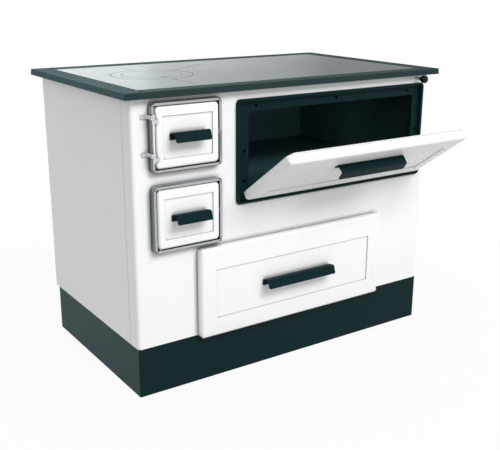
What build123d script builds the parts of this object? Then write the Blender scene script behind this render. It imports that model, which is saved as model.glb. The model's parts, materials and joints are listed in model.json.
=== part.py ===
"""A wood-fired kitchen cookstove: firebox and ash doors, drop-down oven door, wood drawer and hob plate.

Frame: +Z up, +X to the right seen from the front, +Y to the rear.
The origin is on the floor, at the centre of the plinth's footprint. Lengths are millimetres.
"""

from build123d import *
import os
from math import atan2, cos, degrees, radians, sin

os.makedirs("parts", exist_ok=True)

# ---------------------------------------------------------------------------
# Driving dimensions
# ---------------------------------------------------------------------------

# Body
cooker_height = 850.0
body_width = 1052.0
plinth_depth = 584.0
plinth_height = 144.0
rear_overhang = 20.0
sheet = 2.0
plinth_flange = 26.0
plinth_corner_radius = 4.0
plinth_channel_width = 60.0
plinth_channel_height = 30.0
corner_radius = 10.0
corner_return = 50.0
panel_seam = 1.2
panel_flange = 15.0

# Top frame and hob plate
top_frame_side_overhang = 24.0
top_frame_height = 17.0
top_frame_front_overhang = 24.0
top_frame_rear_overhang = 38.0
top_frame_side_border = 58.0
top_frame_front_border = 47.0
top_frame_rear_border = 62.0
top_frame_flare = 2.0
top_frame_corner = 4.0
top_frame_ledge = 10.0
hob_plate_thickness = 10.0
hob_plate_joint = 0.8
ring_radius = 122.0
ring_from_side = 226.0
ring_behind_centre = 9.5
ring_thickness = 6.0
ring_ledge = 6.0
lid_radius = 90.0
lid_thickness = 3.2
ring_gap = 1.2
lift_slot_length = 22.0
lift_slot_width = 8.0
lift_slot_distance = 76.0
lift_slot_depth = 2.2
expansion_slot_width = 1.6
expansion_slot_depth = 1.5
expansion_slots = ((90.0, 90.0), (-90.0, 108.0), (32.0, 194.0))
running_gap = 0.3
# A cut runs this far past the face that it opens.
cut_margin = 1.0

# Screw heads
screw_head_radius = 3.6
screw_head_height = 2.2
low_screw_head_height = 0.8
screw_head_sides = 12
hexagon = 6

# Firebox door and ash door, which share one pattern
small_door_width = 191.0
small_door_height = 163.0
small_door_thickness = 18.0
small_door_corner = 12.0
small_door_edge = 8.0
small_door_edge_chamfer = 5.0
small_door_back_chamfer = 6.0
small_door_skin = 4.0
small_door_gap = 2.5
small_door_from_side = 155.0
firebox_door_below_top = 120.5
small_door_pitch = 219.5
small_door_proud = 22.5
door_frame_rim = 9.0
door_frame_depth = 20.0
door_frame_plate = 3.5
door_frame_inner_corner = 5.0
throat_width = 152.0
throat_height = 124.0
throat_wall = 4.0
throat_reach = 22.0
throat_slack = 2.0
small_panel_side_margin = 20.5
small_panel_end_margin = 25.0
panel_depth = 3.0
inner_plate_lap = 7.0
inner_plate_thickness = 8.0
seal_width = 7.0
seal_depth = 5.0
seal_inset = 0.2
catch_width = 6.0
catch_height = 14.0
catch_nose = 1.2

# Firebox door hinge
hinge_rod_radius = 2.5
hinge_knuckle_radius = 4.5
hinge_knuckle_height = 11.0
hinge_axis_left = 6.5
hinge_axis_proud = 4.0
hinge_below_centre = 48.0
hinge_above_centre = 50.0
hinge_rod_end = 3.0
hinge_bracket_width = 20.0
hinge_bracket_thickness = 3.0
shaft_clearance = 0.05

# Ash door pivots
pivot_radius = 3.0
pivot_in_frame = 6.0
pivot_in_door = 12.0

# Pull handles
handle_web_reach = 27.0
handle_web_rise = 6.0
handle_lip_reach = 37.0
handle_lip_drop = 21.0
handle_leg_height = 18.0
handle_thickness = 3.0
handle_bend = 3.0
handle_end_chamfer = 5.0
small_handle_length = 107.0
long_handle_length = 247.0
small_handle_above_centre = 10.5

# Oven
oven_frame_height = 296.0
oven_frame_below_top = 43.0
oven_frame_from_side = 24.0
oven_frame_from_doors = 56.0
oven_frame_corner = 12.0
oven_frame_rim = 8.0
oven_frame_proud = 6.0
oven_flange_recess = 12.0
oven_left_border = 46.0
oven_right_border = 36.0
oven_top_border = 37.0
oven_bottom_border = 39.0
oven_opening_corner = 10.0
oven_return_depth = 14.0
oven_liner_step = 3.0
oven_liner_flange = 28.0
oven_liner_clearance = 10.0
oven_screw_above = 15.0
oven_screw_beside_left = 14.0
oven_screw_beside_right = 17.0
oven_screw_from_end = 26.0
oven_screw_drop = 85.0

# Oven door, drawn in its own tilted plane, with zero at the hinge axis
oven_door_tilt = 55.0
oven_door_side_gap = 20.5
oven_door_top_gap = 27.7
oven_door_bottom_gap = 16.3
oven_door_thickness = 23.5
oven_door_corner = 8.0
oven_door_edge = 7.0
oven_door_edge_chamfer = 6.0
oven_door_skin = 2.5
oven_door_axis_proud = 18.3
oven_door_axis_in = 8.0
oven_door_axis_up = 6.0
oven_panel_side_margin = 43.0
oven_panel_bottom_margin = 44.0
oven_panel_top_margin = 66.0
oven_handle_below_panel_top = 6.0
oven_liner_plate = 1.5
oven_liner_plate_margin = 1.0
oven_seal_width = 6.0
oven_seal_lap = 0.8
oven_plate_raise = 3.0
oven_raised_margin = 12.0
oven_lug_from_edge = 44.5
oven_lug_width = 6.0
oven_lug_radius = 5.0
oven_pin_length = 26.0
oven_ear_thickness = 3.0
oven_ear_gap = 2.0

# Wood drawer
drawer_left_border = 188.0
drawer_right_border = 199.0
drawer_front_depth = 25.0
drawer_below_ash_frame = 11.5
drawer_below_plinth_top = 5.0
drawer_front_gap = 0.6
drawer_corner = 9.0
drawer_edge_chamfer = 5.0
drawer_panel_side_margin = 50.0
drawer_panel_bottom_margin = 54.5
drawer_panel_top_margin = 65.5
drawer_handle_above_centre = 10.5
tray_side_border = 42.5
tray_below_front_top = 37.5
tray_rear_clearance = 120.0
tray_bottom_above_floor = 14.0
runner_width = 13.0
runner_height = 15.0
runner_rear_clearance = 40.0
runner_above_tray_bottom = 80.0
rail_sheet = 1.5
rail_side_gap = 1.5
rail_beyond_runner = 20.0
rail_behind_panel = 2.0
drawer_opening_margin = 2.0

# Firebox
casing_wall = 3.0
casing_side_gap = 15.0
brick = 28.0
firebox_width = 266.0
firebox_rear_clearance = 112.0
casing_front_gap = 17.0
brick_below_panel_top = 53.0
grate_frame_thickness = 10.0
grate_above_ash_door = 80.0
grate_side_border = 27.0
grate_end_border = 46.0
grate_thickness = 10.0
grate_seat = 4.0
grate_lap = 6.0
grate_clearance = 1.0
grate_slot_width = 9.0
grate_edge = 17.5
grate_slot_pitch = 21.0
smoke_opening_height = 50.0
smoke_opening_end = 63.0

# Ash pan
ash_pan_wall = 1.5
ash_pan_clearance = 3.0
ash_pan_below_throat_top = 12.0
ash_pan_rear_clearance = 76.0
ash_pan_handle_width = 60.0
ash_pan_handle_reach = 8.0
ash_pan_handle_drop = 18.0
ash_pan_front_gap = 2.0

# Flue parts and damper
divider_from_back = 272.0
baffle_above_liner = 5.0
baffle_left_lap = 16.0
baffle_before_divider = 110.0
bypass_width = 36.0
bypass_length = 100.0
bypass_behind_divider = 32.0
damper_plate_lap = 10.0
damper_rod_radius = 4.0
damper_rod_from_side = 53.0
damper_rod_below_top = 28.5
damper_rod_proud = 17.0
damper_tab_width = 16.0
damper_knob_radius = 11.5
damper_neck_radius = 5.5
damper_neck_length = 10.0
damper_knob_length = 16.0
damper_hole_gap = 1.0
damper_bush_radius = 9.0
damper_bush_length = 10.0
flue_radius = 74.0
flue_wall = 4.0
flue_length = 50.0
flue_flange_radius = 95.0
flue_flange_thickness = 5.0
flue_from_back = 132.0
flue_below_top = 210.0
flue_hole_slack = 0.5
flue_screw_circle_radius = 85.0

# ---------------------------------------------------------------------------
# Places that follow from them
# ---------------------------------------------------------------------------

side_x = body_width / 2
front_y = -plinth_depth / 2
back_y = plinth_depth / 2 + rear_overhang
inner_side_x = side_x - sheet
inner_front_y = front_y + sheet
inner_back_y = back_y - 2 * sheet
panel_top = cooker_height - top_frame_height
panel_height = panel_top - plinth_height
floor_top = plinth_height + sheet
small_door_centre_x = small_door_from_side - side_x
firebox_door_centre_z = cooker_height - firebox_door_below_top
ash_door_centre_z = firebox_door_centre_z - small_door_pitch
deck_top = ash_door_centre_z - throat_height / 2

throat = (throat_width, throat_height)
throat_outside = (throat_width + 2 * throat_wall, throat_height + 2 * throat_wall)
throat_hole = (throat_outside[0] + throat_slack, throat_outside[1] + throat_slack)
throat_back_y = front_y + throat_reach
small_door_left = small_door_centre_x - small_door_width / 2
small_door_face_y = front_y - small_door_proud
small_door_back_y = small_door_face_y + small_door_thickness
frame_opening_width = small_door_width + 2 * small_door_gap
frame_opening_height = small_door_height + 2 * small_door_gap
door_frame_width = frame_opening_width + 2 * door_frame_rim
door_frame_height = frame_opening_height + 2 * door_frame_rim
frame_plate_front_y = front_y - door_frame_plate
hinge_axis_x = small_door_left - hinge_axis_left
hinge_axis_y = small_door_face_y - hinge_axis_proud
pivot_x = small_door_left + small_door_thickness / 2
pivot_y = small_door_face_y + small_door_thickness / 2
hinge_heights = (firebox_door_centre_z - hinge_below_centre, firebox_door_centre_z + hinge_above_centre)

oven_frame_right = side_x - oven_frame_from_side
oven_frame_left = small_door_centre_x + door_frame_width / 2 + oven_frame_from_doors
oven_frame_width = oven_frame_right - oven_frame_left
oven_frame_centre_x = (oven_frame_left + oven_frame_right) / 2
oven_frame_top = cooker_height - oven_frame_below_top
oven_frame_bottom = oven_frame_top - oven_frame_height
oven_frame_centre_z = (oven_frame_top + oven_frame_bottom) / 2
oven_opening_width = oven_frame_width - oven_left_border - oven_right_border
oven_opening_height = oven_frame_height - oven_top_border - oven_bottom_border
oven_opening_centre_x = oven_frame_left + oven_left_border + oven_opening_width / 2
oven_opening_centre_z = oven_frame_bottom + oven_bottom_border + oven_opening_height / 2

oven_flange_y = front_y - oven_frame_proud + oven_flange_recess
oven_flange_back_y = oven_flange_y + sheet
liner_width = oven_opening_width + 2 * oven_liner_step
liner_height = oven_opening_height + 2 * oven_liner_step
liner_top = oven_opening_centre_z + liner_height / 2 + sheet
liner_right = oven_opening_centre_x + liner_width / 2 + sheet
liner_back_y = inner_back_y - oven_liner_clearance

firebox_rear_y = back_y - firebox_rear_clearance
grate_frame_z = ash_door_centre_z + grate_above_ash_door
casing_left = -inner_side_x + casing_side_gap
fire_left = casing_left + casing_wall + brick
fire_right = fire_left + firebox_width
casing_right = fire_right + brick + casing_wall
casing_front_y = front_y + casing_front_gap
casing_back_y = firebox_rear_y + brick + casing_wall
brick_bottom = grate_frame_z + grate_frame_thickness
fire_centre_x = (fire_left + fire_right) / 2
fire_front_y = casing_front_y + casing_wall + brick
grate_centre_y = (fire_front_y + firebox_rear_y) / 2

divider_y = back_y - divider_from_back
baffle_z = liner_top + baffle_above_liner
baffle_front_y = divider_y - baffle_before_divider
bypass_front_y = divider_y + bypass_behind_divider
damper_rod_x = side_x - damper_rod_from_side
damper_rod_z = cooker_height - damper_rod_below_top
flue_centre_y = back_y - flue_from_back
flue_centre_z = cooker_height - flue_below_top

drawer_front_width = body_width - drawer_left_border - drawer_right_border
drawer_front_centre_x = (drawer_left_border - drawer_right_border) / 2
drawer_front_bottom = plinth_height - drawer_below_plinth_top
drawer_front_top = ash_door_centre_z - door_frame_height / 2 - drawer_below_ash_frame
drawer_front_height = drawer_front_top - drawer_front_bottom
drawer_back_y = front_y - drawer_front_gap
tray_width = drawer_front_width - 2 * tray_side_border
tray_depth = inner_back_y - drawer_back_y - tray_rear_clearance
tray_bottom_z = floor_top + tray_bottom_above_floor
tray_height = drawer_front_top - tray_below_front_top - tray_bottom_z
runner_length = tray_depth - runner_rear_clearance
damper_plate_z = baffle_z + sheet + running_gap


def facing(y):
    """A drawing plane at depth y that faces the front of the cooker: x to the right, y up."""
    return Plane.XZ.offset(-y)


def save(piece, label):
    """Name a finished piece and write it to its file."""
    piece.part.label = label
    export_step(piece.part, f"parts/{label}.step")


def upright_ring(centre, outer, inner, outer_corner, inner_corner):
    """Sketch a rounded rectangular ring around a centre, in the active sketch."""
    with Locations(centre):
        RectangleRounded(outer[0], outer[1], outer_corner)
        RectangleRounded(inner[0], inner[1], inner_corner, mode=Mode.SUBTRACT)


def square_ring(centre, outer, inner):
    """Sketch a square-cornered ring around a centre, in the active sketch."""
    with Locations(centre):
        Rectangle(*outer)
        Rectangle(*inner, mode=Mode.SUBTRACT)


def floor_slots(start_y, end_y):
    """The slots that let the floor panel and the deck through a panel's flanges, between two depths."""
    with BuildPart() as slots:
        for level_z in (plinth_height, deck_top - sheet):
            with BuildSketch(Plane.XY.offset(level_z)):
                with Locations((0, start_y)):
                    Rectangle(2 * inner_side_x, end_y - start_y, align=(Align.CENTER, Align.MIN))
        extrude(amount=sheet)
    return slots


# ---------------------------------------------------------------------------
# Plinth, panels and deck
# ---------------------------------------------------------------------------

with BuildPart() as plinth:
    with BuildSketch(Plane.XY):
        RectangleRounded(body_width, plinth_depth, plinth_corner_radius)
        Rectangle(body_width - 2 * sheet, plinth_depth - 2 * sheet, mode=Mode.SUBTRACT)
    extrude(amount=plinth_height)
    for flange_z in (0, plinth_height - sheet):
        with BuildSketch(Plane.XY.offset(flange_z)):
            RectangleRounded(body_width, plinth_depth, plinth_corner_radius)
            Rectangle(body_width - 2 * plinth_flange, plinth_depth - 2 * plinth_flange, mode=Mode.SUBTRACT)
        extrude(amount=sheet)
    # A folded channel across the middle carries the load between the front and the rear.
    with BuildSketch(Plane.XZ.offset(-plinth_depth / 2 + sheet)):
        with Locations((0, 0)):
            Rectangle(plinth_channel_width, plinth_channel_height, align=(Align.CENTER, Align.MIN))
        with Locations((0, sheet)):
            Rectangle(
                plinth_channel_width - 2 * sheet,
                plinth_channel_height,
                align=(Align.CENTER, Align.MIN),
                mode=Mode.SUBTRACT,
            )
    extrude(amount=plinth_depth - 2 * sheet)
save(plinth, "plinth")

with BuildPart() as floor_panel:
    with BuildSketch(Plane.XY.offset(plinth_height)):
        with Locations((0, inner_front_y)):
            Rectangle(2 * inner_side_x, inner_back_y - inner_front_y, align=(Align.CENTER, Align.MIN))
    extrude(amount=sheet)
    # The bent front corners of the front panel stand outside these rounded corners.
    fillet(floor_panel.edges().filter_by(Axis.Z).group_by(Axis.Y)[0], corner_radius - sheet)
save(floor_panel, "floor_panel")

with BuildPart() as deck:
    with BuildSketch(Plane.XY.offset(deck_top - sheet)):
        with Locations((0, inner_front_y)):
            Rectangle(2 * inner_side_x, inner_back_y - inner_front_y, align=(Align.CENTER, Align.MIN))
    extrude(amount=sheet)
    fillet(deck.edges().filter_by(Axis.Z).group_by(Axis.Y)[0], corner_radius - sheet)
    with BuildSketch(Plane.XY.offset(deck_top - sheet)):
        for side in (-1, 1):
            with Locations((side * (inner_side_x - sheet / 2), (inner_back_y + front_y + corner_return) / 2)):
                Rectangle(sheet, inner_back_y - front_y - corner_return - 2 * panel_flange)
    extrude(amount=-panel_flange)
    # The throat of the ash door frame lies flush with the deck in a notch of its front edge.
    with BuildSketch(Plane.XY.offset(deck_top - sheet)):
        with Locations((small_door_centre_x, throat_back_y + running_gap)):
            Rectangle(throat_hole[0], throat_reach, align=(Align.CENTER, Align.MAX))
    extrude(amount=sheet, mode=Mode.SUBTRACT)
save(deck, "deck")

with BuildPart() as front_panel:
    with BuildSketch(Plane.XY.offset(plinth_height)) as front_plan:
        with Locations((0, front_y)):
            Rectangle(body_width, corner_return, align=(Align.CENTER, Align.MIN))
        fillet(front_plan.vertices().group_by(Axis.Y)[0], corner_radius)
        with Locations((0, inner_front_y + corner_return)):
            RectangleRounded(2 * inner_side_x, 2 * corner_return, corner_radius - sheet, mode=Mode.SUBTRACT)
        for side in (-1, 1):
            with Locations((side * (side_x - panel_flange / 2), front_y + corner_return - sheet / 2)):
                Rectangle(panel_flange, sheet)
    extrude(amount=panel_height)
    add(floor_slots(inner_front_y + corner_radius, front_y + corner_return), mode=Mode.SUBTRACT)
    with BuildSketch(facing(front_y)):
        for centre_z in (firebox_door_centre_z, ash_door_centre_z):
            with Locations((small_door_centre_x, centre_z)):
                Rectangle(*throat_hole)
        with Locations((oven_frame_centre_x, oven_frame_centre_z)):
            Rectangle(
                oven_frame_width - 2 * oven_frame_rim + 2 * sheet,
                oven_frame_height - 2 * oven_frame_rim + 2 * sheet,
            )
        with Locations((drawer_front_centre_x, floor_top + drawer_opening_margin)):
            Rectangle(
                tray_width + 2 * runner_width + 2 * drawer_opening_margin,
                tray_bottom_above_floor + tray_height + 2 * drawer_opening_margin,
                align=(Align.CENTER, Align.MIN),
            )
        with Locations((damper_rod_x, damper_rod_z)):
            Circle(damper_rod_radius + damper_hole_gap)
    extrude(amount=-sheet, mode=Mode.SUBTRACT)
save(front_panel, "front_panel")

side_panel_front_y = front_y + corner_return + panel_seam
for side, label in ((-1, "left_side_panel"), (1, "right_side_panel")):
    with BuildPart() as side_panel:
        with BuildSketch(Plane.XY.offset(plinth_height)):
            with Locations((side * (side_x - sheet / 2), side_panel_front_y)):
                Rectangle(sheet, back_y - side_panel_front_y, align=(Align.CENTER, Align.MIN))
            for flange_y in (side_panel_front_y, back_y - sheet):
                with Locations((side * (side_x - panel_flange / 2), flange_y)):
                    Rectangle(panel_flange, sheet, align=(Align.CENTER, Align.MIN))
        extrude(amount=panel_height)
        add(floor_slots(side_panel_front_y, inner_back_y), mode=Mode.SUBTRACT)
        if side > 0:
            with BuildSketch(Plane.YZ.offset(side_x)):
                with Locations((flue_centre_y, flue_centre_z)):
                    Circle(flue_radius + flue_hole_slack)
            extrude(amount=-sheet, mode=Mode.SUBTRACT)
    save(side_panel, label)

with BuildPart() as back_panel:
    with BuildSketch(Plane.XY.offset(plinth_height)):
        with Locations((0, inner_back_y)):
            Rectangle(2 * inner_side_x, sheet, align=(Align.CENTER, Align.MIN))
    extrude(amount=panel_height)
save(back_panel, "back_panel")

# ---------------------------------------------------------------------------
# Top frame, hob plate, ring and lid
# ---------------------------------------------------------------------------

top_frame_width = body_width + 2 * top_frame_side_overhang
top_front_y = front_y - top_frame_front_overhang
top_back_y = back_y + top_frame_rear_overhang
hob_front_y = top_front_y + top_frame_front_border
hob_back_y = top_back_y - top_frame_rear_border
hob_centre_y = (hob_front_y + hob_back_y) / 2
hob_opening_width = top_frame_width - 2 * top_frame_side_border
hob_opening_depth = hob_back_y - hob_front_y
hob_seat_z = cooker_height - hob_plate_thickness
frame_screw_x = hob_opening_width / 2
frame_screw_points = [
    (side * frame_screw_x, y)
    for side in (-1, 1)
    for y in (top_front_y + top_frame_front_border / 2, top_back_y - top_frame_rear_border / 2)
]

with BuildPart() as top_frame:
    with BuildSketch(Plane.XY.offset(panel_top)):
        with Locations((0, (top_front_y + top_back_y) / 2)):
            RectangleRounded(top_frame_width, top_back_y - top_front_y, top_frame_corner)
    extrude(amount=top_frame_height, taper=degrees(atan2(top_frame_flare, top_frame_height)))
    with BuildSketch(Plane.XY.offset(panel_top)):
        with Locations((0, hob_centre_y)):
            Rectangle(hob_opening_width - 2 * top_frame_ledge, hob_opening_depth - 2 * top_frame_ledge)
    extrude(amount=top_frame_height, mode=Mode.SUBTRACT)
    with BuildSketch(Plane.XY.offset(hob_seat_z)):
        with Locations((0, hob_centre_y)):
            Rectangle(hob_opening_width, hob_opening_depth)
    extrude(amount=hob_plate_thickness, mode=Mode.SUBTRACT)
save(top_frame, "top_frame")

with BuildPart() as top_frame_screws:
    with BuildSketch(Plane.XY.offset(cooker_height)):
        with Locations(frame_screw_points):
            RegularPolygon(screw_head_radius, screw_head_sides)
    extrude(amount=low_screw_head_height)
save(top_frame_screws, "top_frame_screws")

ring_centre_x = ring_from_side - side_x
ring_centre_y = hob_centre_y + ring_behind_centre
ring_centre = (ring_centre_x, ring_centre_y)
ring_seat_z = cooker_height - ring_thickness - running_gap
with BuildPart() as hob_plate:
    with BuildSketch(Plane.XY.offset(hob_seat_z)):
        with Locations((0, hob_centre_y)):
            Rectangle(hob_opening_width - 2 * hob_plate_joint, hob_opening_depth - 2 * hob_plate_joint)
        with Locations(ring_centre):
            Circle(ring_radius - ring_ledge, mode=Mode.SUBTRACT)
    extrude(amount=hob_plate_thickness)
    with BuildSketch(Plane.XY.offset(ring_seat_z)):
        with Locations(ring_centre):
            Circle(ring_radius)
    extrude(amount=cooker_height - ring_seat_z, mode=Mode.SUBTRACT)
    # Fine cuts that let the hot plate grow without bending.
    with BuildSketch(Plane.XY.offset(cooker_height)):
        for angle, length in expansion_slots:
            with Locations(Location(ring_centre, angle)):
                with Locations((ring_radius - cut_margin, 0)):
                    Rectangle(length + cut_margin, expansion_slot_width, align=(Align.MIN, Align.CENTER))
    extrude(amount=-expansion_slot_depth, mode=Mode.SUBTRACT)
save(hob_plate, "hob_plate")

ring_bottom_z = cooker_height - ring_thickness
lid_bottom_z = cooker_height - lid_thickness
lid_seat_z = lid_bottom_z - running_gap
ring_section_plane = Plane(origin=(ring_centre_x, ring_centre_y, 0), x_dir=(1, 0, 0), z_dir=(0, -1, 0))
ring_axis = Axis((ring_centre_x, ring_centre_y, 0), (0, 0, 1))
with BuildPart() as hob_ring:
    with BuildSketch(ring_section_plane):
        with BuildLine():
            Polyline(
                (lid_radius - ring_ledge, ring_bottom_z),
                (ring_radius - ring_gap, ring_bottom_z),
                (ring_radius - ring_gap, cooker_height),
                (lid_radius, cooker_height),
                (lid_radius, lid_seat_z),
                (lid_radius - ring_ledge, lid_seat_z),
                close=True,
            )
        make_face()
    revolve(axis=ring_axis)
save(hob_ring, "hob_ring")

with BuildPart() as hob_lid:
    with BuildSketch(Plane.XY.offset(lid_bottom_z)):
        with Locations(ring_centre):
            Circle(lid_radius - ring_gap)
    extrude(amount=lid_thickness)
    with BuildSketch(Plane.XY.offset(cooker_height)):
        with Locations((ring_centre_x, ring_centre_y - lift_slot_distance)):
            SlotOverall(lift_slot_length, lift_slot_width)
    extrude(amount=-lift_slot_depth, mode=Mode.SUBTRACT)
save(hob_lid, "hob_lid")

# ---------------------------------------------------------------------------
# Pull handles: one bent section, drawn from its seat outwards
# ---------------------------------------------------------------------------


def pull_handle(seat, length):
    """A bent pull handle on a seat plane whose x runs along it, y upwards and z away from the door."""
    end = Plane(origin=seat.from_local_coords((length / 2, 0, 0)), x_dir=seat.z_dir, z_dir=-seat.x_dir)
    with BuildPart() as handle:
        with BuildSketch(end):
            with BuildLine() as spine:
                Polyline(
                    (handle_thickness / 2, -handle_leg_height),
                    (handle_thickness / 2, -handle_thickness / 2),
                    (handle_web_reach, handle_web_rise - handle_thickness / 2),
                    (handle_lip_reach - handle_thickness / 2, -handle_lip_drop),
                )
                fillet(spine.vertices().sort_by(Axis.Y)[-2:], handle_bend)
            trace(line_width=handle_thickness)
        extrude(amount=length)
        # Seen from the front, all four corners are cut off.
        with BuildSketch(seat) as front_outline:
            with Locations((0, (handle_web_rise - handle_lip_drop) / 2)):
                Rectangle(length, handle_web_rise + handle_lip_drop + handle_thickness)
            chamfer(front_outline.vertices(), handle_end_chamfer)
        extrude(amount=handle_lip_reach + handle_thickness, mode=Mode.INTERSECT)
    return handle


def handle_seat(x, y, z):
    """The upright plane that a handle sits on, with its origin at the top centre of the handle's leg."""
    return Plane(origin=(x, y, z), x_dir=(1, 0, 0), z_dir=(0, -1, 0))


# ---------------------------------------------------------------------------
# Firebox door and ash door
# ---------------------------------------------------------------------------

frame_outside = (door_frame_width, door_frame_height)
frame_opening = (frame_opening_width, frame_opening_height)
frame_corner = small_door_corner + small_door_gap
inner_plate_width = throat_width - 2 * inner_plate_lap
inner_plate_height = throat_height - 2 * inner_plate_lap
hollow_width = inner_plate_width - 2 * inner_plate_lap
hollow_height = inner_plate_height - 2 * inner_plate_lap
groove_outside = (small_door_width - 2 * small_door_edge, small_door_height - 2 * small_door_edge)
groove_inside = (groove_outside[0] - 2 * seal_width, groove_outside[1] - 2 * seal_width)
small_panel = (small_door_width - 2 * small_panel_side_margin, small_door_height - 2 * small_panel_end_margin)
catch_x = small_door_centre_x + frame_opening_width / 2


def door_frame(centre_z):
    """The cast frame that a small door closes into, with its throat through the front panel."""
    centre = (small_door_centre_x, centre_z)
    with BuildPart() as frame:
        with BuildSketch(facing(front_y)):
            with Locations(centre):
                RectangleRounded(*frame_outside, frame_corner)
        extrude(amount=door_frame_depth)
        chamfer(frame.faces().sort_by(Axis.Y)[0].edges(), door_frame_rim / 3)
        with BuildSketch(facing(frame_plate_front_y)):
            with Locations(centre):
                RectangleRounded(*frame_opening, door_frame_inner_corner)
        extrude(amount=door_frame_depth, mode=Mode.SUBTRACT)
        with BuildSketch(facing(front_y)):
            with Locations(centre):
                Rectangle(*throat_outside)
        extrude(amount=-throat_reach)
        with BuildSketch(facing(throat_back_y)):
            with Locations(centre):
                Rectangle(*throat)
        extrude(amount=throat_reach + door_frame_depth, mode=Mode.SUBTRACT)
        with BuildSketch(Plane.YZ.offset(catch_x)):
            with Locations((pivot_y, centre_z)):
                Rectangle(catch_width, catch_height)
        extrude(amount=door_frame_rim - sheet, mode=Mode.SUBTRACT)
    return frame


def door_leaf(centre_z):
    """An enamelled door leaf: round-edged block, recessed panel, hollow back and a groove for the seal."""
    centre = (small_door_centre_x, centre_z)
    with BuildPart() as leaf:
        with BuildSketch(facing(small_door_back_y)):
            with Locations(centre):
                RectangleRounded(small_door_width, small_door_height, small_door_corner)
        extrude(amount=small_door_thickness)
        chamfer(leaf.faces().sort_by(Axis.Y)[0].edges(), small_door_edge_chamfer)
        chamfer(leaf.faces().sort_by(Axis.Y)[-1].edges(), small_door_back_chamfer)
        with BuildSketch(facing(small_door_face_y)):
            with Locations(centre):
                Rectangle(*small_panel)
        extrude(amount=-panel_depth, mode=Mode.SUBTRACT)
        with BuildSketch(facing(small_door_back_y)):
            with Locations(centre):
                Rectangle(hollow_width, hollow_height)
        extrude(amount=small_door_thickness - panel_depth - small_door_skin, mode=Mode.SUBTRACT)
        with BuildSketch(facing(small_door_back_y)):
            square_ring(centre, groove_outside, groove_inside)
        extrude(amount=seal_depth, mode=Mode.SUBTRACT)
    return leaf


def inner_plate(centre_z):
    """The cast plate that shields the back of a small door."""
    with BuildPart() as plate:
        with BuildSketch(facing(small_door_back_y)):
            with Locations((small_door_centre_x, centre_z)):
                RectangleRounded(inner_plate_width, inner_plate_height, inner_plate_lap)
        extrude(amount=-inner_plate_thickness)
    return plate


def door_seal(centre_z):
    """The rope seal in the groove of a small door, just short of the frame's plate."""
    centre = (small_door_centre_x, centre_z)
    seal_outside = (groove_outside[0] - 2 * seal_inset, groove_outside[1] - 2 * seal_inset)
    seal_inside = (groove_inside[0] + 2 * seal_inset, groove_inside[1] + 2 * seal_inset)
    with BuildPart() as seal:
        with BuildSketch(facing(small_door_back_y - seal_depth)):
            square_ring(centre, seal_outside, seal_inside)
        extrude(amount=-(frame_plate_front_y - running_gap - small_door_back_y + seal_depth))
    return seal


for label, centre_z in (("firebox", firebox_door_centre_z), ("ash", ash_door_centre_z)):
    save(inner_plate(centre_z), f"{label}_door_inner_plate")
    save(door_seal(centre_z), f"{label}_door_seal")
    leg_top_z = centre_z + small_handle_above_centre
    seat = handle_seat(small_door_centre_x, small_door_face_y + panel_depth, leg_top_z)
    save(pull_handle(seat, small_handle_length), f"{label}_door_handle")

with BuildPart() as firebox_door_frame:
    add(door_frame(firebox_door_centre_z))
save(firebox_door_frame, "firebox_door_frame")

pivot_ends = (
    ash_door_centre_z - frame_opening_height / 2 - pivot_in_frame,
    ash_door_centre_z + frame_opening_height / 2 + pivot_in_frame,
)
with BuildPart() as ash_door_frame:
    add(door_frame(ash_door_centre_z))
    with BuildSketch(Plane.XY.offset(pivot_ends[0])):
        with Locations((pivot_x, pivot_y)):
            Circle(pivot_radius)
    extrude(amount=pivot_ends[1] - pivot_ends[0], mode=Mode.SUBTRACT)
save(ash_door_frame, "ash_door_frame")

with BuildPart() as ash_door_pivots:
    for pivot_end, upwards in zip(pivot_ends, (1, -1)):
        with BuildSketch(Plane.XY.offset(pivot_end)):
            with Locations((pivot_x, pivot_y)):
                Circle(pivot_radius)
        extrude(amount=upwards * (pivot_in_frame + small_door_gap + pivot_in_door))
save(ash_door_pivots, "ash_door_pivots")

with BuildPart() as ash_door_leaf:
    add(door_leaf(ash_door_centre_z))
    for upwards in (1, -1):
        with BuildSketch(Plane.XY.offset(ash_door_centre_z - upwards * small_door_height / 2)):
            with Locations((pivot_x, pivot_y)):
                Circle(pivot_radius + shaft_clearance)
        extrude(amount=upwards * (pivot_in_door + cut_margin), mode=Mode.SUBTRACT)
save(ash_door_leaf, "ash_door_leaf")

with BuildPart() as door_catches:
    for centre_z in (firebox_door_centre_z, ash_door_centre_z):
        with BuildSketch(Plane.YZ.offset(catch_x)):
            with Locations((pivot_y, centre_z)):
                Rectangle(catch_width, catch_height)
        extrude(amount=door_frame_rim - sheet)
        with BuildSketch(Plane.YZ.offset(catch_x)):
            with Locations((pivot_y, centre_z)):
                Rectangle(catch_width - 2 * catch_nose, catch_height - 2 * catch_nose)
        extrude(amount=-catch_nose)
save(door_catches, "door_catches")

# Firebox door hinge: two brackets beside the frame carry a rod; two knuckles on the door turn on it.
frame_left = small_door_centre_x - door_frame_width / 2
bracket_left = frame_left - hinge_bracket_width
with BuildPart() as firebox_hinge_brackets:
    for hinge_z in hinge_heights:
        with BuildSketch(Plane.XY.offset(hinge_z)):
            with Locations((bracket_left, front_y)):
                Rectangle(hinge_bracket_width, hinge_bracket_thickness, align=(Align.MIN, Align.MAX))
            with Locations((frame_left, front_y)):
                Rectangle(hinge_bracket_thickness, front_y - hinge_axis_y, align=(Align.MAX, Align.MAX))
            with Locations((frame_left - hinge_bracket_thickness, hinge_axis_y)):
                Rectangle(
                    hinge_axis_x - frame_left + hinge_bracket_thickness,
                    hinge_bracket_thickness,
                    align=(Align.MIN, Align.CENTER),
                )
            with Locations((hinge_axis_x, hinge_axis_y)):
                Circle(hinge_knuckle_radius)
                Circle(hinge_rod_radius, mode=Mode.SUBTRACT)
        extrude(amount=hinge_knuckle_height)
save(firebox_hinge_brackets, "firebox_hinge_brackets")

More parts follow.
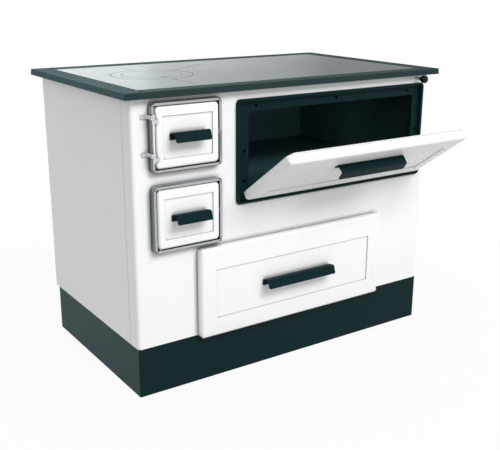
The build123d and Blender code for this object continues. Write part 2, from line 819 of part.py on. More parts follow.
rod_bottom_z = hinge_heights[0] - hinge_knuckle_height - hinge_rod_end
rod_top_z = hinge_heights[1] + hinge_knuckle_height + hinge_rod_end
with BuildPart() as firebox_hinge_rod:
    with BuildSketch(Plane.XY.offset(rod_bottom_z)):
        with Locations((hinge_axis_x, hinge_axis_y)):
            Circle(hinge_rod_radius)
    extrude(amount=rod_top_z - rod_bottom_z)
save(firebox_hinge_rod, "firebox_hinge_rod")

with BuildPart() as firebox_door_leaf:
    add(door_leaf(firebox_door_centre_z))
    for hinge_z in hinge_heights:
        with BuildSketch(Plane.XY.offset(hinge_z - running_gap)):
            with Locations((hinge_axis_x, hinge_axis_y)):
                Circle(hinge_knuckle_radius)
                Rectangle(
                    hinge_axis_left + small_door_edge,
                    hinge_bracket_thickness,
                    align=(Align.MIN, Align.MIN),
                )
            with Locations((small_door_left + cut_margin, hinge_axis_y)):
                Rectangle(
                    small_door_edge - cut_margin,
                    hinge_axis_proud + small_door_edge,
                    align=(Align.MIN, Align.MIN),
                )
        extrude(amount=-(hinge_knuckle_height - running_gap))
    with BuildSketch(Plane.XY.offset(rod_bottom_z)):
        with Locations((hinge_axis_x, hinge_axis_y)):
            Circle(hinge_rod_radius + shaft_clearance)
    extrude(amount=rod_top_z - rod_bottom_z, mode=Mode.SUBTRACT)
save(firebox_door_leaf, "firebox_door_leaf")

# ---------------------------------------------------------------------------
# Oven frame and oven liner
# ---------------------------------------------------------------------------

oven_frame_centre = (oven_frame_centre_x, oven_frame_centre_z)
oven_frame_outside = (oven_frame_width, oven_frame_height)
oven_opening_centre = (oven_opening_centre_x, oven_opening_centre_z)
rim_inside = (oven_frame_width - 2 * oven_frame_rim, oven_frame_height - 2 * oven_frame_rim)
rim_inner_corner = oven_frame_corner - oven_frame_rim
step_outside = (rim_inside[0] + sheet, rim_inside[1] + sheet)
oven_opening = (oven_opening_width, oven_opening_height)
return_outside = (oven_opening_width + 2 * sheet, oven_opening_height + 2 * sheet)

with BuildPart() as oven_frame:
    with BuildSketch(facing(front_y)):
        upright_ring(oven_frame_centre, oven_frame_outside, rim_inside, oven_frame_corner, rim_inner_corner)
    extrude(amount=oven_frame_proud)
    with BuildSketch(facing(front_y)):
        with Locations(oven_frame_centre):
            Rectangle(*step_outside)
            RectangleRounded(*rim_inside, rim_inner_corner, mode=Mode.SUBTRACT)
    extrude(amount=-(oven_flange_back_y - front_y))
    with BuildSketch(facing(oven_flange_back_y)):
        with Locations(oven_frame_centre):
            Rectangle(*step_outside)
        with Locations(oven_opening_centre):
            RectangleRounded(*oven_opening, oven_opening_corner, mode=Mode.SUBTRACT)
    extrude(amount=sheet)
    with BuildSketch(facing(oven_flange_y)):
        with Locations(oven_opening_centre):
            Rectangle(*return_outside)
            RectangleRounded(*oven_opening, oven_opening_corner, mode=Mode.SUBTRACT)
    extrude(amount=-oven_return_depth)
save(oven_frame, "oven_frame")

oven_screw_pitch = oven_opening_width / 2 - oven_screw_from_end
screw_row_z = oven_opening_centre_z + oven_opening_height / 2 + oven_screw_above
screw_left_x = oven_opening_centre_x - oven_opening_width / 2 - oven_screw_beside_left
screw_right_x = oven_opening_centre_x + oven_opening_width / 2 + oven_screw_beside_right
oven_screw_points = [(oven_opening_centre_x + step * oven_screw_pitch, screw_row_z) for step in (-1, 0, 1)]
oven_screw_points += [
    (x, oven_opening_centre_z - drop) for x in (screw_left_x, screw_right_x) for drop in (0, oven_screw_drop)
]
with BuildPart() as oven_frame_screws:
    with BuildSketch(facing(oven_flange_y)):
        with Locations(oven_screw_points):
            RegularPolygon(screw_head_radius, screw_head_sides)
    extrude(amount=screw_head_height)
save(oven_frame_screws, "oven_frame_screws")

liner_inside = (liner_width, liner_height)
liner_outside = (liner_width + 2 * sheet, liner_height + 2 * sheet)
liner_flange_outside = (liner_width + 2 * oven_liner_flange, liner_height + 2 * oven_liner_flange)
liner_depth = liner_back_y - sheet - oven_flange_back_y
with BuildPart() as oven_liner:
    with BuildSketch(facing(oven_flange_back_y)):
        with Locations(oven_opening_centre):
            Rectangle(*liner_outside)
    extrude(amount=-liner_depth)
    with BuildSketch(facing(oven_flange_back_y)):
        with Locations(oven_opening_centre):
            Rectangle(*liner_flange_outside)
    extrude(amount=-sheet)
    with BuildSketch(facing(oven_flange_back_y)):
        with Locations(oven_opening_centre):
            Rectangle(*liner_inside)
    extrude(amount=-liner_depth, mode=Mode.SUBTRACT)
save(oven_liner, "oven_liner")

with BuildPart() as oven_back:
    with BuildSketch(facing(liner_back_y)):
        with Locations(oven_opening_centre):
            Rectangle(*liner_outside)
    extrude(amount=sheet)
save(oven_back, "oven_back")

with BuildPart() as rear_insulation:
    with BuildSketch(facing(inner_back_y)):
        with Locations(oven_opening_centre):
            Rectangle(*liner_outside)
    extrude(amount=inner_back_y - liner_back_y)
save(rear_insulation, "rear_insulation")

# ---------------------------------------------------------------------------
# Oven door, hanging half open on two lugs of the oven frame
# ---------------------------------------------------------------------------

oven_door_axis_y = front_y - oven_door_axis_proud
oven_door_axis_z = oven_frame_bottom + oven_door_bottom_gap + oven_door_axis_up
oven_door_width = oven_frame_width - 2 * oven_door_side_gap
oven_door_height = oven_frame_height - oven_door_top_gap - oven_door_bottom_gap
oven_lug_spacing = oven_door_width - 2 * oven_lug_from_edge
tilt = radians(oven_door_tilt)
door_plane = Plane(
    origin=(oven_frame_centre_x, oven_door_axis_y, oven_door_axis_z),
    x_dir=(1, 0, 0),
    z_dir=(0, -cos(tilt), -sin(tilt)),
)
door_outward = Axis(door_plane.origin, door_plane.z_dir)
door_front_w = oven_door_axis_in
door_back_w = door_front_w - oven_door_thickness
door_bottom_v = -oven_door_axis_up
door_top_v = oven_door_height - oven_door_axis_up
door_centre_v = (door_bottom_v + door_top_v) / 2
recess_back_w = door_front_w - panel_depth
skin_back_w = door_front_w - oven_door_skin
oven_panel_width = oven_door_width - 2 * oven_panel_side_margin
oven_panel_height = oven_door_height - oven_panel_bottom_margin - oven_panel_top_margin
oven_panel_bottom_v = door_bottom_v + oven_panel_bottom_margin
oven_panel_centre_v = oven_panel_bottom_v + oven_panel_height / 2
opening_shift_x = oven_opening_centre_x - oven_frame_centre_x
opening_centre_v = oven_opening_centre_z - oven_door_axis_z
lug_xs = (-oven_lug_spacing / 2, oven_lug_spacing / 2)
lug_notch_width = oven_lug_width + 2 * oven_ear_gap
ear_offset = oven_lug_width / 2 + oven_ear_gap + oven_ear_thickness / 2
ear_back_w = -oven_lug_radius - oven_ear_thickness
ear_top_v = oven_lug_radius + oven_ear_thickness

with BuildPart() as oven_door_shell:
    with BuildSketch(door_plane.offset(door_back_w)):
        with Locations((0, door_centre_v)):
            RectangleRounded(oven_door_width, oven_door_height, oven_door_corner)
    extrude(amount=oven_door_thickness)
    chamfer(oven_door_shell.faces().sort_by(door_outward)[-1].edges(), oven_door_edge_chamfer)
    with BuildSketch(door_plane.offset(door_front_w)):
        with Locations((0, oven_panel_centre_v)):
            Rectangle(oven_panel_width, oven_panel_height)
    extrude(amount=-panel_depth, mode=Mode.SUBTRACT)
    # The pressed shell is hollow from behind, deeper around the recessed panel.
    with BuildSketch(door_plane.offset(door_back_w)):
        with Locations((0, door_centre_v)):
            Rectangle(oven_door_width - 2 * oven_door_skin, oven_door_height - 2 * oven_door_skin)
    extrude(amount=recess_back_w - oven_door_skin - door_back_w, mode=Mode.SUBTRACT)
    with BuildSketch(door_plane.offset(recess_back_w - oven_door_skin)):
        with Locations((0, door_centre_v)):
            Rectangle(oven_door_width - 2 * oven_door_edge, oven_door_height - 2 * oven_door_edge)
        with Locations((0, oven_panel_centre_v)):
            Rectangle(
                oven_panel_width + 2 * oven_door_skin,
                oven_panel_height + 2 * oven_door_skin,
                mode=Mode.SUBTRACT,
            )
    extrude(amount=panel_depth, mode=Mode.SUBTRACT)
    # Ears for the hinge pins, and a notch through the bottom edge for each lug.
    with BuildSketch(door_plane.offset(skin_back_w)):
        for lug_x in lug_xs:
            with Locations((lug_x - ear_offset, door_bottom_v), (lug_x + ear_offset, door_bottom_v)):
                Rectangle(oven_ear_thickness, ear_top_v - door_bottom_v, align=(Align.CENTER, Align.MIN))
    extrude(amount=ear_back_w - skin_back_w)
    with BuildSketch(door_plane.offset(door_back_w)):
        for lug_x in lug_xs:
            with Locations((lug_x, door_bottom_v)):
                Rectangle(lug_notch_width, ear_top_v - door_bottom_v, align=(Align.CENTER, Align.MIN))
    extrude(amount=skin_back_w - door_back_w, mode=Mode.SUBTRACT)
    with BuildSketch(Plane(origin=door_plane.origin, x_dir=door_plane.z_dir, z_dir=(1, 0, 0))):
        Circle(hinge_rod_radius)
    extrude(amount=oven_lug_spacing / 2 + oven_pin_length / 2, both=True, mode=Mode.SUBTRACT)
save(oven_door_shell, "oven_door_shell")

liner_plate_width = oven_door_width - 2 * oven_liner_plate_margin
liner_plate_height = oven_door_height - 2 * oven_liner_plate_margin
liner_plate_corner = oven_door_corner - oven_liner_plate_margin
seal_base_w = door_back_w - oven_liner_plate
seal_reach_w = oven_door_axis_y - oven_flange_y + 2 * running_gap
with BuildPart() as oven_door_liner:
    with BuildSketch(door_plane.offset(door_back_w)):
        with Locations((0, door_centre_v)):
            RectangleRounded(liner_plate_width, liner_plate_height, liner_plate_corner)
        for lug_x in lug_xs:
            with Locations((lug_x, door_bottom_v)):
                Rectangle(
                    lug_notch_width,
                    oven_door_axis_up + oven_lug_radius + cut_margin,
                    align=(Align.CENTER, Align.MIN),
                    mode=Mode.SUBTRACT,
                )
    extrude(amount=-oven_liner_plate)
    with BuildSketch(door_plane.offset(seal_base_w)):
        with Locations((opening_shift_x, opening_centre_v)):
            Rectangle(
                oven_opening_width - 2 * oven_raised_margin,
                oven_opening_height - 2 * oven_raised_margin,
            )
    extrude(amount=-oven_plate_raise)
    chamfer(oven_door_liner.faces().sort_by(door_outward)[0].edges(), sheet)
    # The raised middle is pressed, so it is hollow from the other side.
    with BuildSketch(door_plane.offset(door_back_w)):
        with Locations((opening_shift_x, opening_centre_v)):
            Rectangle(
                oven_opening_width - 2 * (oven_raised_margin + sheet),
                oven_opening_height - 2 * (oven_raised_margin + sheet),
            )
    extrude(amount=-oven_plate_raise, mode=Mode.SUBTRACT)
save(oven_door_liner, "oven_door_liner")

with BuildPart() as oven_door_seal:
    with BuildSketch(door_plane.offset(seal_base_w)):
        square_ring(
            (opening_shift_x, opening_centre_v),
            (
                oven_opening_width + 2 * (oven_seal_lap + oven_seal_width),
                oven_opening_height + 2 * (oven_seal_lap + oven_seal_width),
            ),
            (oven_opening_width + 2 * oven_seal_lap, oven_opening_height + 2 * oven_seal_lap),
        )
    extrude(amount=seal_reach_w - seal_base_w)
save(oven_door_seal, "oven_door_seal")

oven_handle_seat = Plane(
    origin=door_plane.from_local_coords(
        (0, oven_panel_bottom_v + oven_panel_height - oven_handle_below_panel_top, recess_back_w)
    ),
    x_dir=door_plane.x_dir,
    z_dir=door_plane.z_dir,
)
save(pull_handle(oven_handle_seat, long_handle_length), "oven_door_handle")

with BuildPart() as oven_door_pins:
    for lug_x in lug_xs:
        with BuildSketch(Plane.YZ.offset(oven_frame_centre_x + lug_x - oven_pin_length / 2)):
            with Locations((oven_door_axis_y, oven_door_axis_z)):
                Circle(hinge_rod_radius)
        extrude(amount=oven_pin_length)
save(oven_door_pins, "oven_door_pins")

with BuildPart() as oven_hinge_lugs:
    for lug_x in lug_xs:
        with BuildSketch(Plane.YZ.offset(oven_frame_centre_x + lug_x - oven_lug_width / 2)):
            with Locations((oven_door_axis_y, oven_door_axis_z)):
                Circle(oven_lug_radius)
                Rectangle(
                    oven_flange_y - oven_door_axis_y, 2 * oven_lug_radius, align=(Align.MIN, Align.CENTER)
                )
                Circle(hinge_rod_radius + shaft_clearance, mode=Mode.SUBTRACT)
        extrude(amount=oven_lug_width)
save(oven_hinge_lugs, "oven_hinge_lugs")

# ---------------------------------------------------------------------------
# Wood drawer
# ---------------------------------------------------------------------------

tray_front_y = drawer_back_y - sheet
drawer_face_y = tray_front_y - drawer_front_depth + sheet
drawer_centre_z = drawer_front_bottom + drawer_front_height / 2
drawer_centre = (drawer_front_centre_x, drawer_centre_z)
drawer_panel_width = drawer_front_width - 2 * drawer_panel_side_margin
drawer_panel_height = drawer_front_height - drawer_panel_bottom_margin - drawer_panel_top_margin
drawer_panel_centre = (
    drawer_front_centre_x,
    drawer_front_bottom + drawer_panel_bottom_margin + drawer_panel_height / 2,
)
drawer_depth = tray_front_y - drawer_face_y

with BuildPart() as drawer_front:
    with BuildSketch(facing(tray_front_y)):
        with Locations(drawer_centre):
            RectangleRounded(drawer_front_width, drawer_front_height, drawer_corner)
    extrude(amount=drawer_depth)
    chamfer(drawer_front.faces().sort_by(Axis.Y)[0].edges(), drawer_edge_chamfer)
    with BuildSketch(facing(drawer_face_y)):
        with Locations(drawer_panel_centre):
            Rectangle(drawer_panel_width, drawer_panel_height)
    extrude(amount=-panel_depth, mode=Mode.SUBTRACT)
    with BuildSketch(facing(tray_front_y)):
        with Locations(drawer_centre):
            Rectangle(drawer_front_width - 2 * oven_door_skin, drawer_front_height - 2 * oven_door_skin)
    extrude(amount=drawer_depth - panel_depth - oven_door_skin, mode=Mode.SUBTRACT)
save(drawer_front, "drawer_front")

with BuildPart() as drawer_tray:
    with BuildSketch(facing(drawer_back_y)):
        with Locations(drawer_centre):
            RectangleRounded(drawer_front_width - sheet, drawer_front_height - sheet, drawer_corner)
    extrude(amount=sheet)
    with BuildSketch(Plane.XY.offset(tray_bottom_z)):
        with Locations((drawer_front_centre_x, drawer_back_y)):
            Rectangle(tray_width, tray_depth, align=(Align.CENTER, Align.MIN))
    extrude(amount=tray_height)
    with BuildSketch(Plane.XY.offset(tray_bottom_z + sheet)):
        with Locations((drawer_front_centre_x, drawer_back_y)):
            Rectangle(tray_width - 2 * sheet, tray_depth - sheet, align=(Align.CENTER, Align.MIN))
    extrude(amount=tray_height, mode=Mode.SUBTRACT)
save(drawer_tray, "drawer_tray")

drawer_handle_seat = handle_seat(
    drawer_front_centre_x, drawer_face_y + panel_depth, drawer_panel_centre[1] + drawer_handle_above_centre
)
save(pull_handle(drawer_handle_seat, long_handle_length), "drawer_handle")

runner_z = tray_bottom_z + runner_above_tray_bottom
runner_front_y = inner_front_y + rail_behind_panel
with BuildPart() as drawer_runners:
    with BuildSketch(Plane.XY.offset(runner_z)):
        for side in (-1, 1):
            with Locations((drawer_front_centre_x + side * (tray_width + runner_width) / 2, runner_front_y)):
                Rectangle(runner_width, runner_length, align=(Align.CENTER, Align.MIN))
    extrude(amount=runner_height)
save(drawer_runners, "drawer_runners")

rail_height = runner_height + 2 * running_gap + 2 * rail_sheet
rail_z = runner_z - running_gap - rail_sheet
rail_outer = tray_width / 2 + runner_width + rail_side_gap + rail_sheet
rail_inner = tray_width / 2 + rail_side_gap
rail_middle = (rail_outer + rail_inner) / 2
with BuildPart() as drawer_rails:
    for side in (-1, 1):
        with BuildSketch(facing(runner_front_y)):
            with Locations((drawer_front_centre_x + side * rail_middle, rail_z + rail_height / 2)):
                Rectangle(rail_outer - rail_inner, rail_height)
            with Locations(
                (drawer_front_centre_x + side * (rail_middle - rail_sheet), rail_z + rail_height / 2)
            ):
                Rectangle(rail_outer - rail_inner, rail_height - 2 * rail_sheet, mode=Mode.SUBTRACT)
        extrude(amount=-(runner_length + rail_beyond_runner))
save(drawer_rails, "drawer_rails")

bay_height = deck_top - sheet - floor_top
bay_wall_front_y = throat_back_y + running_gap
rail_back_y = runner_front_y + runner_length + rail_beyond_runner
with BuildPart() as drawer_bay_walls:
    for side in (-1, 1):
        with BuildSketch(facing(bay_wall_front_y)):
            with Locations((drawer_front_centre_x + side * rail_outer, floor_top)):
                if side > 0:
                    Rectangle(sheet, bay_height, align=(Align.MIN, Align.MIN))
                    Rectangle(panel_flange, sheet, align=(Align.MIN, Align.MIN))
                else:
                    Rectangle(sheet, bay_height, align=(Align.MAX, Align.MIN))
                    Rectangle(panel_flange, sheet, align=(Align.MAX, Align.MIN))
        extrude(amount=-(rail_back_y - bay_wall_front_y))
save(drawer_bay_walls, "drawer_bay_walls")

# ---------------------------------------------------------------------------
# Firebox, grate and ash pan
# ---------------------------------------------------------------------------

casing_width = casing_right - casing_left
casing_depth = casing_back_y - casing_front_y
casing_height = panel_top - deck_top
brick_height = panel_top - brick_below_panel_top - brick_bottom
smoke_opening_length = casing_depth - 2 * smoke_opening_end
casing_centre_y = (casing_front_y + casing_back_y) / 2
casing_centre_x = (casing_left + casing_right) / 2
with BuildPart() as firebox_casing:
    with BuildSketch(Plane.XY.offset(deck_top)):
        with Locations((casing_centre_x, casing_centre_y)):
            Rectangle(casing_width, casing_depth)
            Rectangle(casing_width - 2 * casing_wall, casing_depth - 2 * casing_wall, mode=Mode.SUBTRACT)
    extrude(amount=casing_height)
    with BuildSketch(facing(casing_front_y)):
        for centre_z in (firebox_door_centre_z, ash_door_centre_z):
            with Locations((small_door_centre_x, centre_z)):
                Rectangle(*throat_hole)
    extrude(amount=-casing_wall, mode=Mode.SUBTRACT)
    with BuildSketch(Plane.YZ.offset(casing_right)):
        with Locations((casing_centre_y, panel_top)):
            Rectangle(smoke_opening_length, smoke_opening_height, align=(Align.CENTER, Align.MAX))
    extrude(amount=-casing_wall, mode=Mode.SUBTRACT)
save(firebox_casing, "firebox_casing")

insulation_front_y = side_panel_front_y + sheet
with BuildPart() as side_insulation:
    with BuildSketch(Plane.XY.offset(deck_top)):
        with Locations((casing_left, insulation_front_y)):
            Rectangle(casing_side_gap, casing_back_y - insulation_front_y, align=(Align.MAX, Align.MIN))
    extrude(amount=casing_height)
save(side_insulation, "side_insulation")

brick_depth = fire_front_y - (casing_front_y + casing_wall)
for label, brick_left in (("firebrick_left", fire_left - brick), ("firebrick_right", fire_right)):
    with BuildPart() as side_brick:
        with BuildSketch(Plane.XY.offset(brick_bottom)):
            with Locations((brick_left, fire_front_y)):
                Rectangle(brick, firebox_rear_y - fire_front_y, align=(Align.MIN, Align.MIN))
        extrude(amount=brick_height)
        chamfer(side_brick.edges().group_by(Axis.Z)[-1], sheet)
    save(side_brick, label)

with BuildPart() as firebrick_rear:
    with BuildSketch(Plane.XY.offset(brick_bottom)):
        with Locations((fire_centre_x, firebox_rear_y)):
            Rectangle(firebox_width + 2 * brick, brick, align=(Align.CENTER, Align.MIN))
    extrude(amount=brick_height)
    chamfer(firebrick_rear.edges().group_by(Axis.Z)[-1], sheet)
save(firebrick_rear, "firebrick_rear")

with BuildPart() as firebrick_front:
    with BuildSketch(Plane.XY.offset(brick_bottom)):
        with Locations((fire_centre_x, fire_front_y)):
            Rectangle(firebox_width + 2 * brick, brick_depth, align=(Align.CENTER, Align.MAX))
    extrude(amount=brick_height)
    with BuildSketch(facing(fire_front_y)):
        with Locations((small_door_centre_x, firebox_door_centre_z - throat_outside[1] / 2 - cut_margin)):
            Rectangle(throat_hole[0], brick_height, align=(Align.CENTER, Align.MIN))
    extrude(amount=brick_depth, mode=Mode.SUBTRACT)
save(firebrick_front, "firebrick_front")

grate_seat_z = grate_frame_z + grate_frame_thickness - grate_seat
grate_width = firebox_width - 2 * grate_side_border
grate_length = firebox_rear_y - fire_front_y - 2 * grate_end_border
grate_slot_rows = int((grate_length - 2 * grate_edge) / grate_slot_pitch)
grate_slot_length = (grate_width - 2 * grate_edge - grate_slot_width) / 2
with BuildPart() as grate_frame:
    with BuildSketch(Plane.XY.offset(grate_frame_z)):
        with Locations((casing_centre_x, casing_centre_y)):
            Rectangle(casing_width - 2 * casing_wall, casing_depth - 2 * casing_wall)
        with Locations((fire_centre_x, grate_centre_y)):
            Rectangle(grate_width - 2 * grate_lap, grate_length - 2 * grate_lap, mode=Mode.SUBTRACT)
    extrude(amount=grate_frame_thickness)
    with BuildSketch(Plane.XY.offset(grate_seat_z)):
        with Locations((fire_centre_x, grate_centre_y)):
            Rectangle(grate_width + 2 * grate_clearance, grate_length + 2 * grate_clearance)
    extrude(amount=grate_seat, mode=Mode.SUBTRACT)
save(grate_frame, "grate_frame")

with BuildPart() as grate:
    with BuildSketch(Plane.XY.offset(grate_seat_z)):
        with Locations((fire_centre_x, grate_centre_y)):
            Rectangle(grate_width, grate_length)
            with GridLocations(grate_slot_length + grate_slot_width, grate_slot_pitch, 2, grate_slot_rows):
                Rectangle(grate_slot_length, grate_slot_width, mode=Mode.SUBTRACT)
    extrude(amount=grate_thickness)
save(grate, "grate")

ash_pan_width = throat_width - 2 * ash_pan_clearance
ash_pan_height = throat_height - ash_pan_below_throat_top
ash_pan_front_y = small_door_back_y + inner_plate_thickness + ash_pan_handle_reach + ash_pan_front_gap
ash_pan_length = casing_back_y - casing_wall - ash_pan_rear_clearance - ash_pan_front_y
with BuildPart() as ash_pan:
    with BuildSketch(Plane.XY.offset(deck_top)):
        with Locations((small_door_centre_x, ash_pan_front_y)):
            Rectangle(ash_pan_width, ash_pan_length, align=(Align.CENTER, Align.MIN))
    extrude(amount=ash_pan_height)
    with BuildSketch(Plane.XY.offset(deck_top + ash_pan_wall)):
        with Locations((small_door_centre_x, ash_pan_front_y + ash_pan_wall)):
            Rectangle(
                ash_pan_width - 2 * ash_pan_wall,
                ash_pan_length - 2 * ash_pan_wall,
                align=(Align.CENTER, Align.MIN),
            )
    extrude(amount=ash_pan_height, mode=Mode.SUBTRACT)
    # A folded lip along the top of the front wall is the pan's grip.
    grip_top = deck_top + ash_pan_height
    with BuildSketch(Plane.YZ.offset(small_door_centre_x - ash_pan_handle_width / 2)):
        with Locations((ash_pan_front_y, grip_top)):
            Rectangle(ash_pan_handle_reach, ash_pan_wall, align=(Align.MAX, Align.MAX))
        with Locations((ash_pan_front_y - ash_pan_handle_reach, grip_top)):
            Rectangle(ash_pan_wall, ash_pan_handle_drop, align=(Align.MIN, Align.MAX))
    extrude(amount=ash_pan_handle_width)
save(ash_pan, "ash_pan")

# ---------------------------------------------------------------------------
# Flue passage, damper and flue collar
# ---------------------------------------------------------------------------

with BuildPart() as flue_divider:
    with BuildSketch(facing(divider_y)):
        with Locations((liner_right, deck_top)):
            Rectangle(inner_side_x - liner_right, baffle_z - deck_top, align=(Align.MIN, Align.MIN))
    extrude(amount=-sheet)
save(flue_divider, "flue_divider")

baffle_left = liner_right - baffle_left_lap
bypass_centre_x = (liner_right + inner_side_x) / 2
with BuildPart() as bypass_baffle:
    with BuildSketch(Plane.XY.offset(baffle_z)):
        with Locations((baffle_left, baffle_front_y)):
            Rectangle(inner_side_x - baffle_left, inner_back_y - baffle_front_y, align=(Align.MIN, Align.MIN))
        with Locations((bypass_centre_x, bypass_front_y)):
            Rectangle(bypass_width, bypass_length, align=(Align.CENTER, Align.MIN), mode=Mode.SUBTRACT)
    extrude(amount=sheet)
    with BuildSketch(Plane.XY.offset(liner_top)):
        with Locations((baffle_left, baffle_front_y)):
            Rectangle(sheet, inner_back_y - baffle_front_y, align=(Align.MIN, Align.MIN))
    extrude(amount=baffle_above_liner)
save(bypass_baffle, "bypass_baffle")

damper_plate_front_y = bypass_front_y - damper_plate_lap
damper_plate_left = damper_rod_x - damper_tab_width / 2
with BuildPart() as damper_plate:
    with BuildSketch(Plane.XY.offset(damper_plate_z)):
        with Locations((damper_plate_left, damper_plate_front_y)):
            Rectangle(
                inner_side_x - sheet - damper_plate_left,
                bypass_length + 2 * damper_plate_lap,
                align=(Align.MIN, Align.MIN),
            )
    extrude(amount=sheet)
    with BuildSketch(facing(damper_plate_front_y)):
        with Locations((damper_rod_x, damper_plate_z)):
            Rectangle(
                damper_tab_width,
                damper_rod_z - damper_plate_z + damper_rod_radius + sheet,
                align=(Align.CENTER, Align.MIN),
            )
        with Locations((damper_rod_x, damper_rod_z)):
            Circle(damper_rod_radius, mode=Mode.SUBTRACT)
    extrude(amount=-sheet)
save(damper_plate, "damper_plate")

rod_front_y = front_y - damper_rod_proud
with BuildPart() as damper_rod:
    with BuildSketch(facing(damper_plate_front_y + 2 * sheet)):
        with Locations((damper_rod_x, damper_rod_z)):
            Circle(damper_rod_radius)
    extrude(amount=damper_plate_front_y + 2 * sheet - rod_front_y)
save(damper_rod, "damper_rod")

with BuildPart() as damper_bush:
    with BuildSketch(facing(inner_front_y + damper_bush_length)):
        with Locations((damper_rod_x, damper_rod_z)):
            RegularPolygon(damper_bush_radius, hexagon)
            Circle(damper_rod_radius + shaft_clearance, mode=Mode.SUBTRACT)
    extrude(amount=damper_bush_length)
save(damper_bush, "damper_bush")

with BuildPart() as damper_knob:
    with BuildSketch(facing(rod_front_y)):
        with Locations((damper_rod_x, damper_rod_z)):
            Circle(damper_neck_radius)
    extrude(amount=damper_neck_length)
    with BuildSketch(facing(rod_front_y - damper_neck_length)):
        with Locations((damper_rod_x, damper_rod_z)):
            Circle(damper_knob_radius)
    extrude(amount=damper_knob_length)
save(damper_knob, "damper_knob")

with BuildPart() as flue_collar:
    with BuildSketch(Plane.YZ.offset(side_x)):
        with Locations((flue_centre_y, flue_centre_z)):
            Circle(flue_flange_radius)
    extrude(amount=flue_flange_thickness)
    with BuildSketch(Plane.YZ.offset(side_x - 3 * sheet)):
        with Locations((flue_centre_y, flue_centre_z)):
            Circle(flue_radius)
    extrude(amount=3 * sheet + flue_flange_thickness + flue_length)
    with BuildSketch(Plane.YZ.offset(side_x - 3 * sheet)):
        with Locations((flue_centre_y, flue_centre_z)):
            Circle(flue_radius - flue_wall)
    extrude(amount=3 * sheet + flue_flange_thickness + flue_length, mode=Mode.SUBTRACT)
save(flue_collar, "flue_collar")

with BuildPart() as flue_collar_screws:
    with BuildSketch(Plane.YZ.offset(side_x + flue_flange_thickness)):
        with Locations((flue_centre_y, flue_centre_z)):
            with PolarLocations(flue_screw_circle_radius, 4, start_angle=45):
                RegularPolygon(screw_head_radius, hexagon)
    extrude(amount=screw_head_height)
save(flue_collar_screws, "flue_collar_screws")
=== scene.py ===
"""Looks for the wood-fired cookstove: materials, fasteners, rope seals, studio and camera.

Everything is in metres, in the row frame: +X right seen from the front, +Y to the rear, +Z up.
"""

import json
import math
from typing import NamedTuple

import bmesh
import bpy
from mathutils import Matrix, Vector


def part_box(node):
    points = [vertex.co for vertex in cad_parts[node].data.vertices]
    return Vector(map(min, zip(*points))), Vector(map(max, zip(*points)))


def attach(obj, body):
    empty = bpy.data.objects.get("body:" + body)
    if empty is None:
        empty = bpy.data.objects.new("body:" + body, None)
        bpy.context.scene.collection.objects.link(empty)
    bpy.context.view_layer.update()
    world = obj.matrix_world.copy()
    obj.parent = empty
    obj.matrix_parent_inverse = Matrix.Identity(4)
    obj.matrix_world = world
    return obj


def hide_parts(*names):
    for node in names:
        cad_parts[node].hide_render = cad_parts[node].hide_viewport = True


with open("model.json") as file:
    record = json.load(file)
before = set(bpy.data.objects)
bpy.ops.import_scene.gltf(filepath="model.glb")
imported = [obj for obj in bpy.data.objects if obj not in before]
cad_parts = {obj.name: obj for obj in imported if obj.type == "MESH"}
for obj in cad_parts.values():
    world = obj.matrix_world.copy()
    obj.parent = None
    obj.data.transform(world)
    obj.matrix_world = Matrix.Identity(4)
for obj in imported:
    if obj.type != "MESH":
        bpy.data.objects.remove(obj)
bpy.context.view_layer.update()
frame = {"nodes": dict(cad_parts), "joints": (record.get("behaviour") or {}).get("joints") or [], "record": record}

# ---------------------------------------------------------------------------
# Node helpers. Textures follow object coordinates, which are the row frame at rest.
# ---------------------------------------------------------------------------

NOISE_RANGE = (0.3, 0.7)  # where most values of a noise lie
TIGHT_NOISE_RANGE = (0.35, 0.65)  # the same, for more contrast
UPWARD = (0.3, 0.9)  # Z of a normal, from a face that leans to one that looks up
EDGE_TURN = (0.995, 0.85)  # cosine from normal to rounded normal where an edge starts and is full


def new_material(name):
    """A material with its node tree and its shader."""
    material = bpy.data.materials.new(name)
    material.use_nodes = True
    tree = material.node_tree
    return material, tree, tree.nodes["Principled BSDF"]


def base_colour(material):
    """The shader's colour input, and the socket that feeds it so far."""
    colour_input = material.node_tree.nodes["Principled BSDF"].inputs["Base Color"]
    return colour_input, colour_input.links[0].from_socket


def object_position(tree, stretch=(1.0, 1.0, 1.0), centre=(0.0, 0.0, 0.0)):
    """Object coordinates, moved so that centre is the origin, then stretched."""
    place = tree.nodes.new("ShaderNodeTexCoord")
    mapping = tree.nodes.new("ShaderNodeMapping")
    mapping.vector_type = "TEXTURE"
    mapping.inputs["Location"].default_value = centre
    mapping.inputs["Scale"].default_value = [1.0 / value for value in stretch]
    tree.links.new(place.outputs["Object"], mapping.inputs["Vector"])
    return mapping.outputs["Vector"]


def split_xyz(tree, vector):
    """The outputs X, Y and Z of a vector socket."""
    node = tree.nodes.new("ShaderNodeSeparateXYZ")
    tree.links.new(vector, node.inputs["Vector"])
    return node.outputs


def object_normal(tree):
    """The outputs X, Y and Z of the normal in object coordinates."""
    return split_xyz(tree, tree.nodes.new("ShaderNodeTexCoord").outputs["Normal"])


def distance_from_origin(tree, position):
    node = tree.nodes.new("ShaderNodeVectorMath")
    node.operation = "LENGTH"
    tree.links.new(position, node.inputs[0])
    return node.outputs["Value"]


def noise(tree, position, scale, detail, roughness, output="Fac"):
    node = tree.nodes.new("ShaderNodeTexNoise")
    node.inputs["Scale"].default_value = scale
    node.inputs["Detail"].default_value = detail
    node.inputs["Roughness"].default_value = roughness
    tree.links.new(position, node.inputs["Vector"])
    return node.outputs[output]


